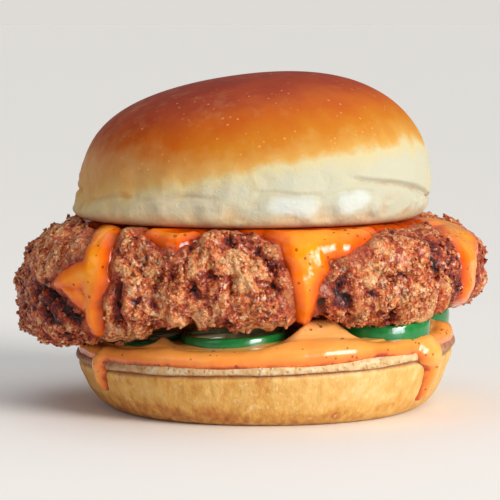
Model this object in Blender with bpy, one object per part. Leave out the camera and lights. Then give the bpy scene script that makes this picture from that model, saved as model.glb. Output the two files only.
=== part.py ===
"""Fried chicken burger: a soft bun, sauce and chilli slices under a craggy breaded fillet, hot sauce over it.

Every shape is worked out in millimetres and turned to metres where its mesh is made. +Z is up, +X runs along
the fillet's length, and -Y is the front. The origin is the centre of the bottom bun's resting face.
"""

import math
from typing import NamedTuple

import bmesh
import bpy
import numpy as np

MM = 0.001
UP = np.array([0.0, 0.0, 1.0])
GAP = 0.35  # left between two pieces that touch
FAR = 99.0
SHARP_EDGE = math.radians(40)

# The bottom bun
HEEL_RADIUS = 54.4
HEEL_BASE_RADIUS = 43.0
HEEL_ROUNDNESS = 0.985  # its depth, as a share of its width
HEEL_SIDE_POWER = 0.42  # how quickly the side swells out from the base
HEEL_RIM_HEIGHT = 18.9
HEEL_RIM_RISE = 0.038  # the rim climbs this much for each millimetre along +X
HEEL_RIM_ROUNDING = 1.2
HEEL_BAND_HEIGHT = 3.8  # pale crumb that shows above the crust
HEEL_BAND_BULGE = 0.6
HEEL_GROOVE_DEPTH = 0.8  # between the pale band and the crust
HEEL_LIP_WIDTH = 5.0
HEEL_DISH = 1.1  # the cut face lies this far below the rim
HEEL_POLE_RADIUS = 2.0  # of the smallest ring on the cut face
HEEL_PROFILE_SHARES = (0.35, 0.47, 0.65)  # where the cut face, the lip and the pale band end

# The fried fillet
FILLET_CENTRE_X = -4.5
FILLET_HALF_LENGTH = 66.4
FILLET_HALF_FRONT = 53.5
FILLET_HALF_BACK = 52.0
FILLET_OUTLINE_POWER = 2.25  # 2 is an ellipse, more is squarer
FILLET_SHOULDER_POWERS = (3.2, 7.0, 3.0)  # how square its upper edge is at the left, in front and at the right
FILLET_LOWER_POWERS = (5.5, 3.2, 4.5)
FILLET_TOP = 53.0
FILLET_CRAG_RISE = 1.4  # how far crags beside the top bun stand above the pressed top
FILLET_UNDERSIDE = 26.5
FILLET_SLOPES = (0.03, 0.08)  # left and right of the middle
FILLET_DROOPS = (0.0019, 0.0007)
FILLET_SAGS = (1.1, 3.0)  # how far crags may hang down over the bun, and how much further beyond it
FILLET_ROW_RANGE = (0.0005, 0.9995)  # shares of the way from the top's middle to the underside's
SAUCED_RELIEF = 0.35  # share of the crags' height that is left under hot sauce

# The top bun
CROWN_BASE = 54.8
CROWN_HEIGHT = 41.3
CROWN_CENTRE_X = -4.3
CROWN_HALF_LENGTH = 50.9
CROWN_HALF_DEPTH = 49.6
CROWN_LEAN = 3.4  # the dome leans to the right by this much over its height
CROWN_PEAK_SHIFT = 8.0  # and its peak lies this much further
CROWN_POWERS = (3.3, 1.9)  # how flat its top and how steep its sides are
CROWN_TUCK = 2.8  # the lower edge turns in by this much
CROWN_LIP = 1.5  # at the left it swells out by this much instead
CROWN_FOLDS = 0.8
CROWN_FIRST_SHARE = 0.004


class ChilliSlice(NamedTuple):
    """Where a slice lies and its size; rise is its slope along +X, and turn is in degrees."""

    x: float
    y: float
    radius: float
    thickness: float
    rise: float
    turn: float


CHILLI_SPOKES = 21
CHILLI_RIBS = 3
CHILLI_RIB_SPOKES = 2
CHILLI_WALL = 3.4
CHILLI_CORE = 3.8
CHILLI_ROUNDING = 0.3
CHILLI_DROP = 1.6  # from the fillet's underside to a slice's upper face
CHILLI_SLICES = (
    ChilliSlice(-33.5, -20.5, 10.5, 2.8, 0.12, 10.0),
    ChilliSlice(-8.5, -32.0, 15.0, 4.0, 0.05, 50.0),
    ChilliSlice(32.0, -23.0, 14.2, 6.2, 0.04, 95.0),
    ChilliSlice(39.5, 9.0, 14.4, 5.6, 0.02, 20.0),
    ChilliSlice(-26.0, 26.0, 13.5, 3.4, 0.10, 70.0),
    ChilliSlice(12.0, 31.0, 14.0, 4.6, 0.07, 35.0),
)

# Hot sauce: its streams down the fillet's front and back are points (x, z, half width)
HOT_SAUCE_THICKNESS = 2.3
HOT_SAUCE_SPREAD = 47.5  # how far it spreads under the top bun
HOT_SAUCE_EDGE = 3.2  # width of its rounded edge
FRONT_STREAMS = (
    ((-37, 52.6, 5), (-43, 51.5, 4.6), (-45.5, 47, 5), (-46.5, 41, 5.5), (-47.5, 35, 3.6), (-46.5, 23.5, 2.4)),
    ((-57.5, 38.5, 2.2), (-52, 40.5, 4.2), (-47, 42, 5)),
    ((-22, 52.7, 4), (-30, 51.8, 4), (-24, 51, 3.8), (-20, 51.5, 3)),
    ((0, 52.6, 6), (12, 51, 6), (22, 51.5, 5), (30, 52.2, 3.2)),
    ((10, 50, 7), (11, 45, 5.8), (10.4, 39, 4.2), (10, 33, 3), (10, 27.5, 2.4)),
    ((40, 52.7, 5), (50, 51.8, 6), (58, 48.5, 6), (60.5, 43, 6), (60.5, 36, 5), (57.5, 30, 3.4)),
)
BACK_STREAMS = (
    ((-12, 52.7, 6), (-14, 50, 6), (-16, 42, 4), (-15, 33, 3)),
    ((26, 52.7, 6), (31, 50, 5.5), (33, 41, 3.4)),
    ((-42, 52.6, 6), (-54, 50, 5), (-60, 42, 3.4)),
)
STREAM_STEPS = 3  # pieces that each stretch of a stream is laid on the fillet in

# Burger sauce: its runs down the bottom bun are points (x, y, z, half width)
BURGER_SAUCE_THICKNESS = 4.6
BURGER_SAUCE_EDGE = 6.0
BURGER_SAUCE_RUN_THICKNESS = 2.6
BURGER_SAUCE_RUN_EDGE = 3.0
BURGER_SAUCE_REACH = 55.0  # from the bun's middle, over its rim
BURGER_SAUCE_RUNS = (
    ((45, -29, 20, 6), (46.5, -27, 15, 3), (45.5, -26, 9, 2.4), (44, -26, 4.5, 2.0)),
    ((-45, -29, 18, 4), (-46, -28, 13, 2.6)),
    ((-20, 50, 18, 5), (-20, 50, 12, 2.6)),
    ((50, 20, 20, 6), (49, 20, 13, 2.4)),
)

SAUCE_EDGE_DEPTH = 2.0  # a sauce's skin dips this far into what it lies on, round its edge

# Triangles of each uneven body, before and after it is cut to fit its neighbours
FILLET_TRIANGLES = 4500
HOT_SAUCE_TRIANGLES = (1600, 2100)
BURGER_SAUCE_TRIANGLES = (1400, 2400)


def ramp(low, high, value):
    """0 at low and below, 1 at high and above, straight between."""
    return np.clip((value - low) / (high - low), 0.0, 1.0)


def smoothstep(low, high, value):
    """0 at low and below, 1 at high and above, smooth between."""
    t = ramp(low, high, value)
    return t * t * (3.0 - 2.0 * t)


def signed_power(value, power):
    return np.sign(value) * np.abs(value) ** power


def turns(count):
    """Angles evenly round a full turn."""
    return np.linspace(0.0, 2.0 * math.pi, count, endpoint=False)


def lattice_random(cell, seed):
    """A number from 0 to 1 for each whole-number cell of space, always the same for the same seed."""
    mixed = cell[..., 0] * 374761393 + cell[..., 1] * 668265263 + cell[..., 2] * 1440662683 + seed * 1013904223
    mixed = mixed & 0xFFFFFFFF
    mixed = ((mixed ^ (mixed >> 13)) * 1274126177) & 0xFFFFFFFF
    return (mixed ^ (mixed >> 16)) / 0xFFFFFFFF


def lumps(points, size, seed):
    """-1 to 1: smooth swells about `size` across, from random corners of a cubic lattice."""
    scaled = points / size
    cell = np.floor(scaled).astype(np.int64)
    part = scaled - cell
    part = part * part * (3.0 - 2.0 * part)
    total = np.zeros(points.shape[:-1])
    for corner in np.ndindex(2, 2, 2):
        weight = np.prod(np.where(np.array(corner), part, 1.0 - part), axis=-1)
        total += weight * lattice_random(cell + np.array(corner), seed)
    return 2.0 * total - 1.0


def nuggets(points, size, seed):
    """0 to 1: rounded nuggets about `size` across with creases between, one random centre in each cube."""
    scaled = points / size
    cell = np.floor(scaled).astype(np.int64)
    nearest = np.full(points.shape[:-1], FAR)
    for step in np.ndindex(3, 3, 3):
        other = cell + np.array(step) - 1
        centre = other + np.stack([lattice_random(other, seed + axis) for axis in range(3)], axis=-1)
        nearest = np.minimum(nearest, ((scaled - centre) ** 2).sum(axis=-1))
    return np.sqrt(np.clip(1.0 - nearest, 0.0, 1.0))


def even_rows(profile, count, first=0.0, last=1.0):
    """Parameters from first to last, evenly spaced along a profile: a function from 0..1 to (radius, height)."""
    fine = np.linspace(first, last, 3000)
    radius, height = profile(fine)
    along = np.concatenate([[0.0], np.cumsum(np.hypot(np.diff(radius), np.diff(height)))])
    return np.interp(np.linspace(0.0, along[-1], count), along, fine)


def grid_normals(points):
    """Outward unit normals of a grid whose rows run from the top down and whose columns go round and close."""
    down = np.gradient(points, axis=0)
    around = np.roll(points, -1, axis=1) - np.roll(points, 1, axis=1)
    normal = np.cross(down, around)
    return normal / np.maximum(np.linalg.norm(normal, axis=-1, keepdims=True), 1e-9)


def food_material(name, colour, roughness):
    """A Principled material; colour is linear red, green and blue."""
    material = bpy.data.materials.new(name)
    material.use_nodes = True
    shader = material.node_tree.nodes["Principled BSDF"]
    shader.inputs["Base Color"].default_value = (*colour, 1.0)
    shader.inputs["Roughness"].default_value = roughness
    shader.inputs["Metallic"].default_value = 0.0
    return material


def smooth_object(name, vertices, faces, material=None):
    """A smooth-shaded mesh object from points in millimetres, without the points that no face uses."""
    used, renamed = np.unique(np.concatenate([np.asarray(face) for face in faces]), return_inverse=True)
    place = iter(renamed.tolist())
    faces = [[next(place) for _ in face] for face in faces]
    mesh = bpy.data.meshes.new(name)
    mesh.from_pydata((vertices[used] * MM).tolist(), [], faces)
    mesh.validate()
    mesh.shade_smooth()
    mesh.set_sharp_from_angle(angle=SHARP_EDGE)
    if material:
        mesh.materials.append(material)
    return place_mesh(name, mesh)


def place_mesh(name, mesh):
    obj = bpy.data.objects.new(name, mesh)
    bpy.context.scene.collection.objects.link(obj)
    return obj


def closed_grid(name, points, material=None):
    """A closed body from rows of a grid that goes round, with a flat cap on its first and last rows."""
    rows, columns = points.shape[:2]
    index = np.arange(rows * columns).reshape(rows, columns)
    right = np.roll(index, -1, axis=1)
    quads = np.stack([index[:-1], index[1:], right[1:], right[:-1]], axis=-1).reshape(-1, 4)
    faces = quads.tolist() + [index[0].tolist(), index[-1][::-1].tolist()]
    return smooth_object(name, points.reshape(-1, 3), faces, material)


def cells_at(points_kept):
    """The cells of a grid that goes round with at least one corner kept, none of them meeting only at a corner."""
    beside = np.roll(points_kept, -1, axis=1)
    kept = points_kept[:-1] | points_kept[1:] | beside[:-1] | beside[1:]
    while True:
        here, right = kept[:-1], np.roll(kept, -1, axis=1)[:-1]
        below, across = kept[1:], np.roll(kept, -1, axis=1)[1:]
        falling = here & across & ~right & ~below
        rising = right & below & ~here & ~across
        if not (falling.any() or rising.any()):
            return kept
        kept[1:] |= falling
        kept[:-1] |= rising


def coat(name, outer, inner, points_kept, material):
    """A layer between two grids where their points are kept, closed by walls and by caps at the first row."""
    kept = cells_at(points_kept)
    rows, columns = outer.shape[:2]
    under = rows * columns
    index = np.arange(under).reshape(rows, columns)
    right = np.roll(index, -1, axis=1)
    corners = (index[:-1], index[1:], right[1:], right[:-1])
    cells = np.stack(corners, axis=-1)[kept]
    faces = cells.tolist() + (cells[:, ::-1] + under).tolist()
    empty = np.zeros((1, columns), bool)
    sides = (
        (np.roll(kept, 1, axis=1), corners[0], corners[1]),
        (np.concatenate([kept[1:], empty]), corners[1], corners[2]),
        (np.roll(kept, -1, axis=1), corners[2], corners[3]),
        (np.concatenate([~empty, kept[:-1]]), corners[3], corners[0]),
    )
    for neighbour, start, end in sides:
        first, second = start[kept & ~neighbour], end[kept & ~neighbour]
        faces += np.stack([second, first, first + under, second + under], axis=-1).tolist()
    faces += [index[0].tolist(), (index[0][::-1] + under).tolist()]
    return smooth_object(name, np.concatenate([outer.reshape(-1, 3), inner.reshape(-1, 3)]), faces, material)


def stream_depth(points, streams):
    """How far inside the nearest stream each point lies, in millimetres; negative outside."""
    best = np.full(points.shape[:-1], -FAR)
    for stream in streams:
        for start, end in zip(stream[:-1], stream[1:], strict=True):
            a, b = np.array(start, float), np.array(end, float)
            run = b[:3] - a[:3]
            share = np.clip(((points - a[:3]) @ run) / (run @ run), 0.0, 1.0)
            middle = a[:3] + share[..., None] * run
            width = a[3] + share * (b[3] - a[3])
            best = np.maximum(best, width - np.linalg.norm(points - middle, axis=-1))
    return best


def heel_profile(t):
    """(radius, height) of the bottom bun: cut face, lip, pale band, then the side down to its rounded foot."""
    face_end, lip_end, band_end = HEEL_PROFILE_SHARES
    side_height = HEEL_RIM_HEIGHT - HEEL_BAND_HEIGHT
    face_radius = HEEL_RADIUS - HEEL_LIP_WIDTH
    lip, band = ramp(face_end, lip_end, t), ramp(lip_end, band_end, t)
    height_left = 1.0 - ramp(band_end, 1.0, t)
    lip_radius = face_radius + (HEEL_LIP_WIDTH - HEEL_RIM_ROUNDING) * lip
    rounding = HEEL_RIM_ROUNDING * (band - 1.0 + np.sin(math.pi * band) ** 0.6)
    band_radius = HEEL_RADIUS - 1.0 + rounding + HEEL_BAND_BULGE * np.sin(math.pi * band) ** 0.6 + 0.2 * band
    swell = (HEEL_RADIUS - HEEL_BASE_RADIUS) * height_left**HEEL_SIDE_POWER
    groove = HEEL_GROOVE_DEPTH * np.exp(-((side_height * (1.0 - height_left) / 0.9) ** 2))
    parts = [t > band_end, t > lip_end, t > face_end]
    radius = np.select(
        parts,
        [HEEL_BASE_RADIUS + swell - groove, band_radius, lip_radius],
        HEEL_POLE_RADIUS + (face_radius - HEEL_POLE_RADIUS) * t / face_end,
    )
    height = np.select(
        parts[:2],
        [side_height * height_left, HEEL_RIM_HEIGHT - HEEL_BAND_HEIGHT * band],
        HEEL_RIM_HEIGHT - HEEL_DISH * (1.0 - smoothstep(0.0, 1.0, lip)),
    )
    return radius, height


def heel_tilt(height, x):
    """The bun is squashed unevenly, so a height on it grows towards +X."""
    return height * (1.0 + HEEL_RIM_RISE * x / HEEL_RIM_HEIGHT)


def heel_surface(rows, columns, first=HEEL_PROFILE_SHARES[0], last=1.0):
    """The bottom bun from the edge of its cut face, or from the face's middle if first is 0, to its base."""
    radius, height = heel_profile(even_rows(heel_profile, rows, first, last))
    theta = turns(columns)
    uneven = 1.0 + 0.008 * np.sin(2.0 * theta + 0.6) + 0.006 * np.sin(5.0 * theta)
    x = radius[:, None] * np.cos(theta) * uneven
    y = radius[:, None] * np.sin(theta) * uneven * HEEL_ROUNDNESS
    z = heel_tilt(np.broadcast_to(height[:, None], x.shape), x)
    points = np.stack([x, y, z], axis=-1)
    free = smoothstep(1.0, 5.0, z) * smoothstep(HEEL_BASE_RADIUS, HEEL_RADIUS, np.hypot(x, y))
    wrinkles = 0.45 * lumps(points * np.array([1.0, 1.0, 0.4]), 9.0, seed=11)
    return points + grid_normals(points) * (wrinkles * free)[..., None]


def fillet_underside(x):
    """Height of the fillet's underside: it climbs to the right and droops past the bun at both ends."""
    slope = np.where(x < 0.0, *FILLET_SLOPES)
    droop = np.where(x < 0.0, *FILLET_DROOPS)
    return FILLET_UNDERSIDE + slope * x - droop * x * x


def fillet_middle(x):
    return (FILLET_TOP + fillet_underside(x)) / 2.0


def fillet_edge_power(upper, theta):
    """How square the fillet's edge is above and below, changing from its long sides to its two ends."""
    end = smoothstep(0.4, 0.95, np.abs(np.cos(theta)))
    powers = []
    for left, side, right in (FILLET_SHOULDER_POWERS, FILLET_LOWER_POWERS):
        powers.append(side + (np.where(np.cos(theta) < 0.0, left, right) - side) * end)
    return np.where(upper, *powers)


def fillet_section(share):
    """(radius, height) of the fillet's front edge, for spacing its rows: a squarish superellipse."""
    phi = math.pi * share
    power = 2.0 / fillet_edge_power(np.cos(phi) > 0.0, -math.pi / 2.0)
    half_height = (FILLET_TOP - FILLET_UNDERSIDE) / 2.0
    return FILLET_HALF_FRONT * np.sin(phi) ** power, half_height * signed_power(np.cos(phi), power)


def fillet_base(rows, columns):
    """The fillet without its crags: a squarish slab, thicker at its left end."""
    phi = math.pi * even_rows(fillet_section, rows, *FILLET_ROW_RANGE)[:, None]
    theta = turns(columns)[None, :]
    depth = np.where(np.sin(theta) > 0.0, FILLET_HALF_BACK, FILLET_HALF_FRONT)
    power = FILLET_OUTLINE_POWER
    reach = (np.abs(np.cos(theta)) / FILLET_HALF_LENGTH) ** power + (np.abs(np.sin(theta)) / depth) ** power
    uneven = 1.0 + 0.012 * np.sin(3.0 * theta + 0.4) + 0.012 * np.sin(7.0 * theta)
    edge = 2.0 / fillet_edge_power(np.cos(phi) > 0.0, theta)
    radius = reach ** (-1.0 / power) * uneven * np.sin(phi) ** edge
    x = FILLET_CENTRE_X + radius * np.cos(theta)
    z = fillet_middle(x) + (FILLET_TOP - fillet_middle(x)) * signed_power(np.cos(phi), edge)
    return np.stack([x, radius * np.sin(theta), z], axis=-1)


def on_fillet(x, z, depth):
    """The y of the fillet's smooth outline at x and z, on the side whose half depth is given with its sign."""
    along = abs(x - FILLET_CENTRE_X) / FILLET_HALF_LENGTH
    height = (z - fillet_middle(x)) / (FILLET_TOP - fillet_middle(x))
    y = depth / 2.0
    for _ in range(4):
        power = fillet_edge_power(height > 0.0, math.atan2(y, x - FILLET_CENTRE_X))
        reach = (1.0 - abs(height) ** power) ** (1.0 / power)
        room = 1.0 - min(along / reach, 1.0) ** FILLET_OUTLINE_POWER
        y = depth * reach * room ** (1.0 / FILLET_OUTLINE_POWER)
    return float(y)


def hot_sauce_depth(points):
    """How far inside the streams of hot sauce each point of the fillet lies."""
    streams = []
    for side, depth in ((FRONT_STREAMS, -FILLET_HALF_FRONT), (BACK_STREAMS, FILLET_HALF_BACK)):
        for stream in side:
            knots = range(len(stream))
            steps = np.linspace(0.0, knots[-1], STREAM_STEPS * knots[-1] + 1)
            route = zip(*(np.interp(steps, knots, column) for column in zip(*stream, strict=True)), strict=True)
            streams.append([(x, on_fillet(x, z, depth), z, width) for x, z, width in route])
    return stream_depth(points, streams)


def crust_relief(points):
    """Height of the breading: broad swells, then nuggets, then smaller ones on them."""
    warped = points + 2.0 * np.stack([lumps(points, 6.0, seed) for seed in (21, 22, 23)], axis=-1)
    swell = 1.9 * lumps(points, 18.0, seed=5)
    large = 4.2 * (nuggets(warped, 10.0, seed=31) - 0.64)
    small = 2.2 * (nuggets(warped, 5.2, seed=41) - 0.66)
    return swell + large + small


def fillet_surface(rows, columns):
    """The breaded fillet, pressed flat where the buns and slices bear on it."""
    points = fillet_base(rows, columns)
    normal = grid_normals(points)
    from_crown = np.hypot(points[..., 0] - CROWN_CENTRE_X, points[..., 1])
    above = points[..., 2] > fillet_middle(points[..., 0])
    free = np.where(above, smoothstep(45.0, 50.0, from_crown), smoothstep(42.0, 49.0, from_crown))
    sauced = smoothstep(-2.0, 1.5, hot_sauce_depth(points))
    relief = crust_relief(points) * free * (1.0 - (1.0 - SAUCED_RELIEF) * sauced)
    points = points + normal * relief[..., None]
    from_heel = np.hypot(points[..., 0], points[..., 1])
    sag = FILLET_SAGS[0] * smoothstep(42.0, 49.0, from_heel) + FILLET_SAGS[1] * smoothstep(52.0, 60.0, from_heel)
    ceiling = FILLET_TOP + FILLET_CRAG_RISE * smoothstep(47.5, 50.0, from_crown) * (1.0 - sauced)
    points[..., 2] = np.clip(points[..., 2], fillet_underside(points[..., 0]) - sag, ceiling)
    return points


def crown_profile(t):
    """(radius, height) of the top bun along +X: dome, side and tucked edge."""
    rise = np.cos(0.5 * math.pi * t)
    radius = CROWN_HALF_LENGTH * (1.0 - rise ** CROWN_POWERS[0]) ** (1.0 / CROWN_POWERS[1])
    height = CROWN_HEIGHT * rise
    return radius - CROWN_TUCK * np.exp(-height / 1.6), height


def crown_surface(rows, columns):
    """The top bun from its peak, which leans to the right, to the edge of its flat base."""
    t = even_rows(crown_profile, rows, first=CROWN_FIRST_SHARE)
    radius, height = (column[:, None] for column in crown_profile(t))
    theta = turns(columns)
    share = height / CROWN_HEIGHT
    lip = CROWN_LIP * np.exp(-(((height - 2.0) / 2.2) ** 2)) + 0.6 * CROWN_TUCK * np.exp(-height / 1.6)
    uneven = 1.0 + 0.006 * np.sin(3.0 * theta + 1.0) + 0.004 * np.sin(5.0 * theta)
    reach = (radius + lip * smoothstep(0.3, 0.9, -np.cos(theta))) * uneven
    x = CROWN_CENTRE_X + CROWN_LEAN * share + CROWN_PEAK_SHIFT * share**7 + reach * np.cos(theta)
    y = reach * np.sin(theta) * CROWN_HALF_DEPTH / CROWN_HALF_LENGTH
    points = np.stack([x, y, CROWN_BASE + np.broadcast_to(height, x.shape)], axis=-1)
    torn_side = smoothstep(1.0, 5.0, height) * (1.0 - smoothstep(12.0, 20.0, height))
    folds = CROWN_FOLDS * lumps(points * np.array([1.0, 1.0, 0.6]), 8.0, seed=61)
    return points + grid_normals(points) * (folds * torn_side)[..., None]


def chilli_ring(piece, radius, height):
    """Points of a slice at a distance from its middle and above its middle plane, one on each spoke."""
    theta = turns(CHILLI_SPOKES) + math.radians(piece.turn)
    uneven = radius * (1.0 + 0.03 * np.cos(2.0 * theta) + 0.02 * np.sin(3.0 * theta))
    x, y = uneven * np.cos(theta), uneven * np.sin(theta)
    middle = fillet_underside(piece.x) - CHILLI_DROP - piece.thickness / 2.0
    return np.stack([piece.x + x, piece.y + y, middle + height + piece.rise * x], axis=-1)


def chilli_slice(name, piece, material):
    """A chilli ring with ribs that meet in its pithy middle, its faces laid out on rings and spokes."""
    radii = (0.0, CHILLI_CORE, piece.radius - CHILLI_WALL, piece.radius - CHILLI_ROUNDING)
    half = piece.thickness / 2.0
    rings = [chilli_ring(piece, radius, side * half) for side in (1, -1) for radius in radii]
    vertices = np.concatenate([*rings, chilli_ring(piece, piece.radius, 0.0)])
    index = np.arange(4 * CHILLI_SPOKES).reshape(4, CHILLI_SPOKES)
    index[0] = 0
    under = 4 * CHILLI_SPOKES
    skin = 2 * under + np.arange(CHILLI_SPOKES)
    rib = (np.arange(CHILLI_SPOKES) % (CHILLI_SPOKES // CHILLI_RIBS)) < CHILLI_RIB_SPOKES
    faces = []
    for spoke in range(CHILLI_SPOKES):
        after = (spoke + 1) % CHILLI_SPOKES
        middle, core, wall, edge = index[:, spoke]
        _, next_core, next_wall, next_edge = index[:, after]
        cells = [[core, next_core, middle], [wall, edge, next_edge, next_wall]]
        if rib[spoke]:
            cells.append([core, wall, next_wall, next_core])
        else:
            faces.append([next_core, core, core + under, next_core + under])
            faces.append([wall, next_wall, next_wall + under, wall + under])
        for cell in cells:
            faces += [cell, [corner + under for corner in reversed(cell)]]
        if rib[spoke] and not rib[spoke - 1]:
            faces.append([wall, core, core + under, wall + under])
        if rib[spoke] and not rib[after]:
            faces.append([next_core, next_wall, next_wall + under, next_core + under])
        faces.append([next_edge, edge, skin[spoke], skin[after]])
        faces.append([skin[after], skin[spoke], edge + under, next_edge + under])
    return smooth_object(name, vertices, faces, material)


def chilli_plug(piece):
    """The slice without its holes, and bigger by the gap: what the burger sauce leaves free for it."""
    half = piece.thickness / 2.0 + GAP
    radius = piece.radius + GAP
    heights = ((radius - CHILLI_ROUNDING, half), (radius, 0.0), (radius - CHILLI_ROUNDING, -half))
    return closed_grid("Slice plug", np.stack([chilli_ring(piece, *place) for place in heights]))


def count_triangles(obj):
    return sum(len(polygon.vertices) - 2 for polygon in obj.data.polygons)


def apply_modifiers(obj):
    """Replaces the object's mesh by its evaluated mesh."""
    graph = bpy.context.evaluated_depsgraph_get()
    mesh = bpy.data.meshes.new_from_object(obj.evaluated_get(graph))
    obj.modifiers.clear()
    obj.data = mesh


def decimate(obj, triangles):
    """Fewer triangles where the surface is flat, so that more are left for the crags."""
    modifier = obj.modifiers.new("Fewer faces", "DECIMATE")
    modifier.ratio = triangles / count_triangles(obj)
    modifier.use_collapse_triangulate = True
    apply_modifiers(obj)


def swollen_copy(obj):
    """A cutter: the object grown outwards by the gap that touching pieces keep."""
    shape = bmesh.new()
    shape.from_mesh(obj.data)
    shape.normal_update()
    moves = [vertex.normal * GAP * MM * min(vertex.calc_shell_factor(), 1.6) for vertex in shape.verts]
    for vertex, move in zip(shape.verts, moves, strict=True):
        vertex.co += move
    mesh = bpy.data.meshes.new("Cutter")
    shape.to_mesh(mesh)
    shape.free()
    return place_mesh("Cutter", mesh)


def keep_largest_body(obj):
    """Drops the loose scraps that a cut leaves."""
    shape = bmesh.new()
    shape.from_mesh(obj.data)
    unseen = set(shape.verts)
    bodies = []
    while unseen:
        front = [unseen.pop()]
        body = set(front)
        while front:
            linked = {vertex for edge in front.pop().link_edges for vertex in edge.verts} & unseen
            unseen -= linked
            body |= linked
            front += linked
        bodies.append(body)
    bodies.sort(key=len)
    for scrap in bodies[:-1]:
        bmesh.ops.delete(shape, geom=list(scrap), context="VERTS")
    shape.to_mesh(obj.data)
    shape.free()


def cut(obj, cutter):
    """Takes the cutter out of the object, keeps the object's largest body and removes the cutter."""
    modifier = obj.modifiers.new("Cut", "BOOLEAN")
    modifier.operation = "DIFFERENCE"
    modifier.solver = "EXACT"
    modifier.object = cutter
    apply_modifiers(obj)
    bpy.data.objects.remove(cutter)
    keep_largest_body(obj)


def hot_sauce_layer(material):
    """Sauce between the fillet and the top bun, with the streams that run over the fillet's edge."""
    base = fillet_base(rows=70, columns=150)
    middle = fillet_middle(base[..., 0])
    from_crown = np.hypot(base[..., 0] - CROWN_CENTRE_X, base[..., 1])
    pressed_top = (base[..., 2] > FILLET_TOP - 6.0) & (from_crown < HOT_SAUCE_SPREAD + 4.0)
    spread = np.where(pressed_top, HOT_SAUCE_SPREAD - from_crown, -FAR)
    depth = np.maximum(hot_sauce_depth(base), spread)
    raised = HOT_SAUCE_THICKNESS * np.sqrt(ramp(0.0, HOT_SAUCE_EDGE, depth)) + np.clip(depth, -SAUCE_EDGE_DEPTH, 0.0)
    outer = base + grid_normals(base) * raised[..., None]
    outer[..., 2] = np.minimum(outer[..., 2], CROWN_BASE - GAP)
    heart = np.stack([np.full_like(middle, FILLET_CENTRE_X), np.zeros_like(middle), middle], axis=-1)
    inner = heart + (base - heart) * np.array([0.92, 0.92, 0.72])
    return coat("hot_sauce", outer, inner, depth > 0.5 - SAUCE_EDGE_DEPTH, material)


def sauce_between_slices(points):
    """Height of the burger sauce's top: half way up the nearest slice, and up to the fillet away from the slices."""
    level = np.zeros(points.shape[:-1])
    nearest = np.full(points.shape[:-1], FAR)
    for piece in CHILLI_SLICES:
        along = points[..., 0] - piece.x
        away = np.hypot(along, points[..., 1] - piece.y) - piece.radius
        height = fillet_underside(piece.x) - CHILLI_DROP - 0.5 * piece.thickness + piece.rise * along
        level = np.where(away < nearest, height, level)
        nearest = np.minimum(nearest, away)
    full = fillet_underside(points[..., 0]) + 1.5
    return level + (full - level) * smoothstep(1.0, 6.0, nearest)


def burger_sauce_layer(material):
    """Sauce between the bottom bun and the fillet, thick inside and rounded over the bun's rim, with its runs."""
    base = heel_surface(rows=60, columns=110, first=0.0, last=0.97)
    normal = grid_normals(base)
    below_rim = np.clip(heel_tilt(HEEL_RIM_HEIGHT, base[..., 0]) - base[..., 2], 0.0, None)
    spread = BURGER_SAUCE_REACH + 0.7 * lumps(base, 14.0, seed=71) - np.hypot(base[..., 0], base[..., 1]) - below_rim
    runs = stream_depth(base, BURGER_SAUCE_RUNS)
    depth = np.maximum(spread, runs)
    mound = BURGER_SAUCE_THICKNESS * np.sqrt(ramp(0.0, BURGER_SAUCE_EDGE, spread))
    run = BURGER_SAUCE_RUN_THICKNESS * np.sqrt(ramp(0.0, BURGER_SAUCE_RUN_EDGE, runs))
    raised = np.maximum(mound, run) + np.clip(depth, -SAUCE_EDGE_DEPTH, 0.0)
    direction = normal + (UP - normal) * smoothstep(1.5, 5.0, spread)[..., None]
    outer = base + direction * raised[..., None]
    outer[..., 2] += (sauce_between_slices(base) - outer[..., 2]) * smoothstep(4.5, 11.0, spread)
    inner = base * np.array([0.9, 0.9, 0.75])
    return coat("burger_sauce", outer, inner, depth > 0.5 - SAUCE_EDGE_DEPTH, material)


def build():
    """Clears the scene, then builds the pieces from the bottom bun up and cuts the sauces to fit them."""
    for old in list(bpy.data.objects):
        bpy.data.objects.remove(old)

    heel = closed_grid(
        "bottom_bun",
        heel_surface(rows=15, columns=44),
        food_material("Golden bun crust", (0.66, 0.36, 0.12), 0.5),
    )
    crown = closed_grid(
        "top_bun",
        crown_surface(rows=17, columns=44),
        food_material("Glazed bun crust", (0.48, 0.17, 0.04), 0.35),
    )
    fillet = closed_grid(
        "chicken_fillet",
        fillet_surface(rows=76, columns=160),
        food_material("Fried breading", (0.33, 0.11, 0.04), 0.5),
    )
    decimate(fillet, FILLET_TRIANGLES)
    chilli = food_material("Green chilli", (0.03, 0.2, 0.05), 0.3)
    slices = [
        chilli_slice(f"chilli_slice_{number}", piece, chilli)
        for number, piece in enumerate(CHILLI_SLICES, start=1)
    ]

    hot_sauce = hot_sauce_layer(food_material("Hot sauce", (0.9, 0.25, 0.02), 0.15))
    decimate(hot_sauce, HOT_SAUCE_TRIANGLES[0])
    cut(hot_sauce, swollen_copy(fillet))
    decimate(hot_sauce, HOT_SAUCE_TRIANGLES[1])

    burger_sauce = burger_sauce_layer(food_material("Burger sauce", (0.88, 0.33, 0.08), 0.2))
    decimate(burger_sauce, BURGER_SAUCE_TRIANGLES[0])
    for piece in CHILLI_SLICES:
        cut(burger_sauce, chilli_plug(piece))
    for neighbour in (heel, fillet, hot_sauce):
        cut(burger_sauce, swollen_copy(neighbour))
    decimate(burger_sauce, BURGER_SAUCE_TRIANGLES[1])

    for obj in (heel, burger_sauce, *slices, fillet, hot_sauce, crown):
        print(obj.name, count_triangles(obj), "triangles")


build()
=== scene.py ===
"""Looks of a fried chicken burger: glazed bun, craggy breaded fillet, two sauces and chilli slices.

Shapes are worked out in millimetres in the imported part's own frame and turned to metres where a mesh is made.
+Z is up, +X runs along the fillet, and the camera looks at the front, along +Y.
"""

from __future__ import annotations

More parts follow.
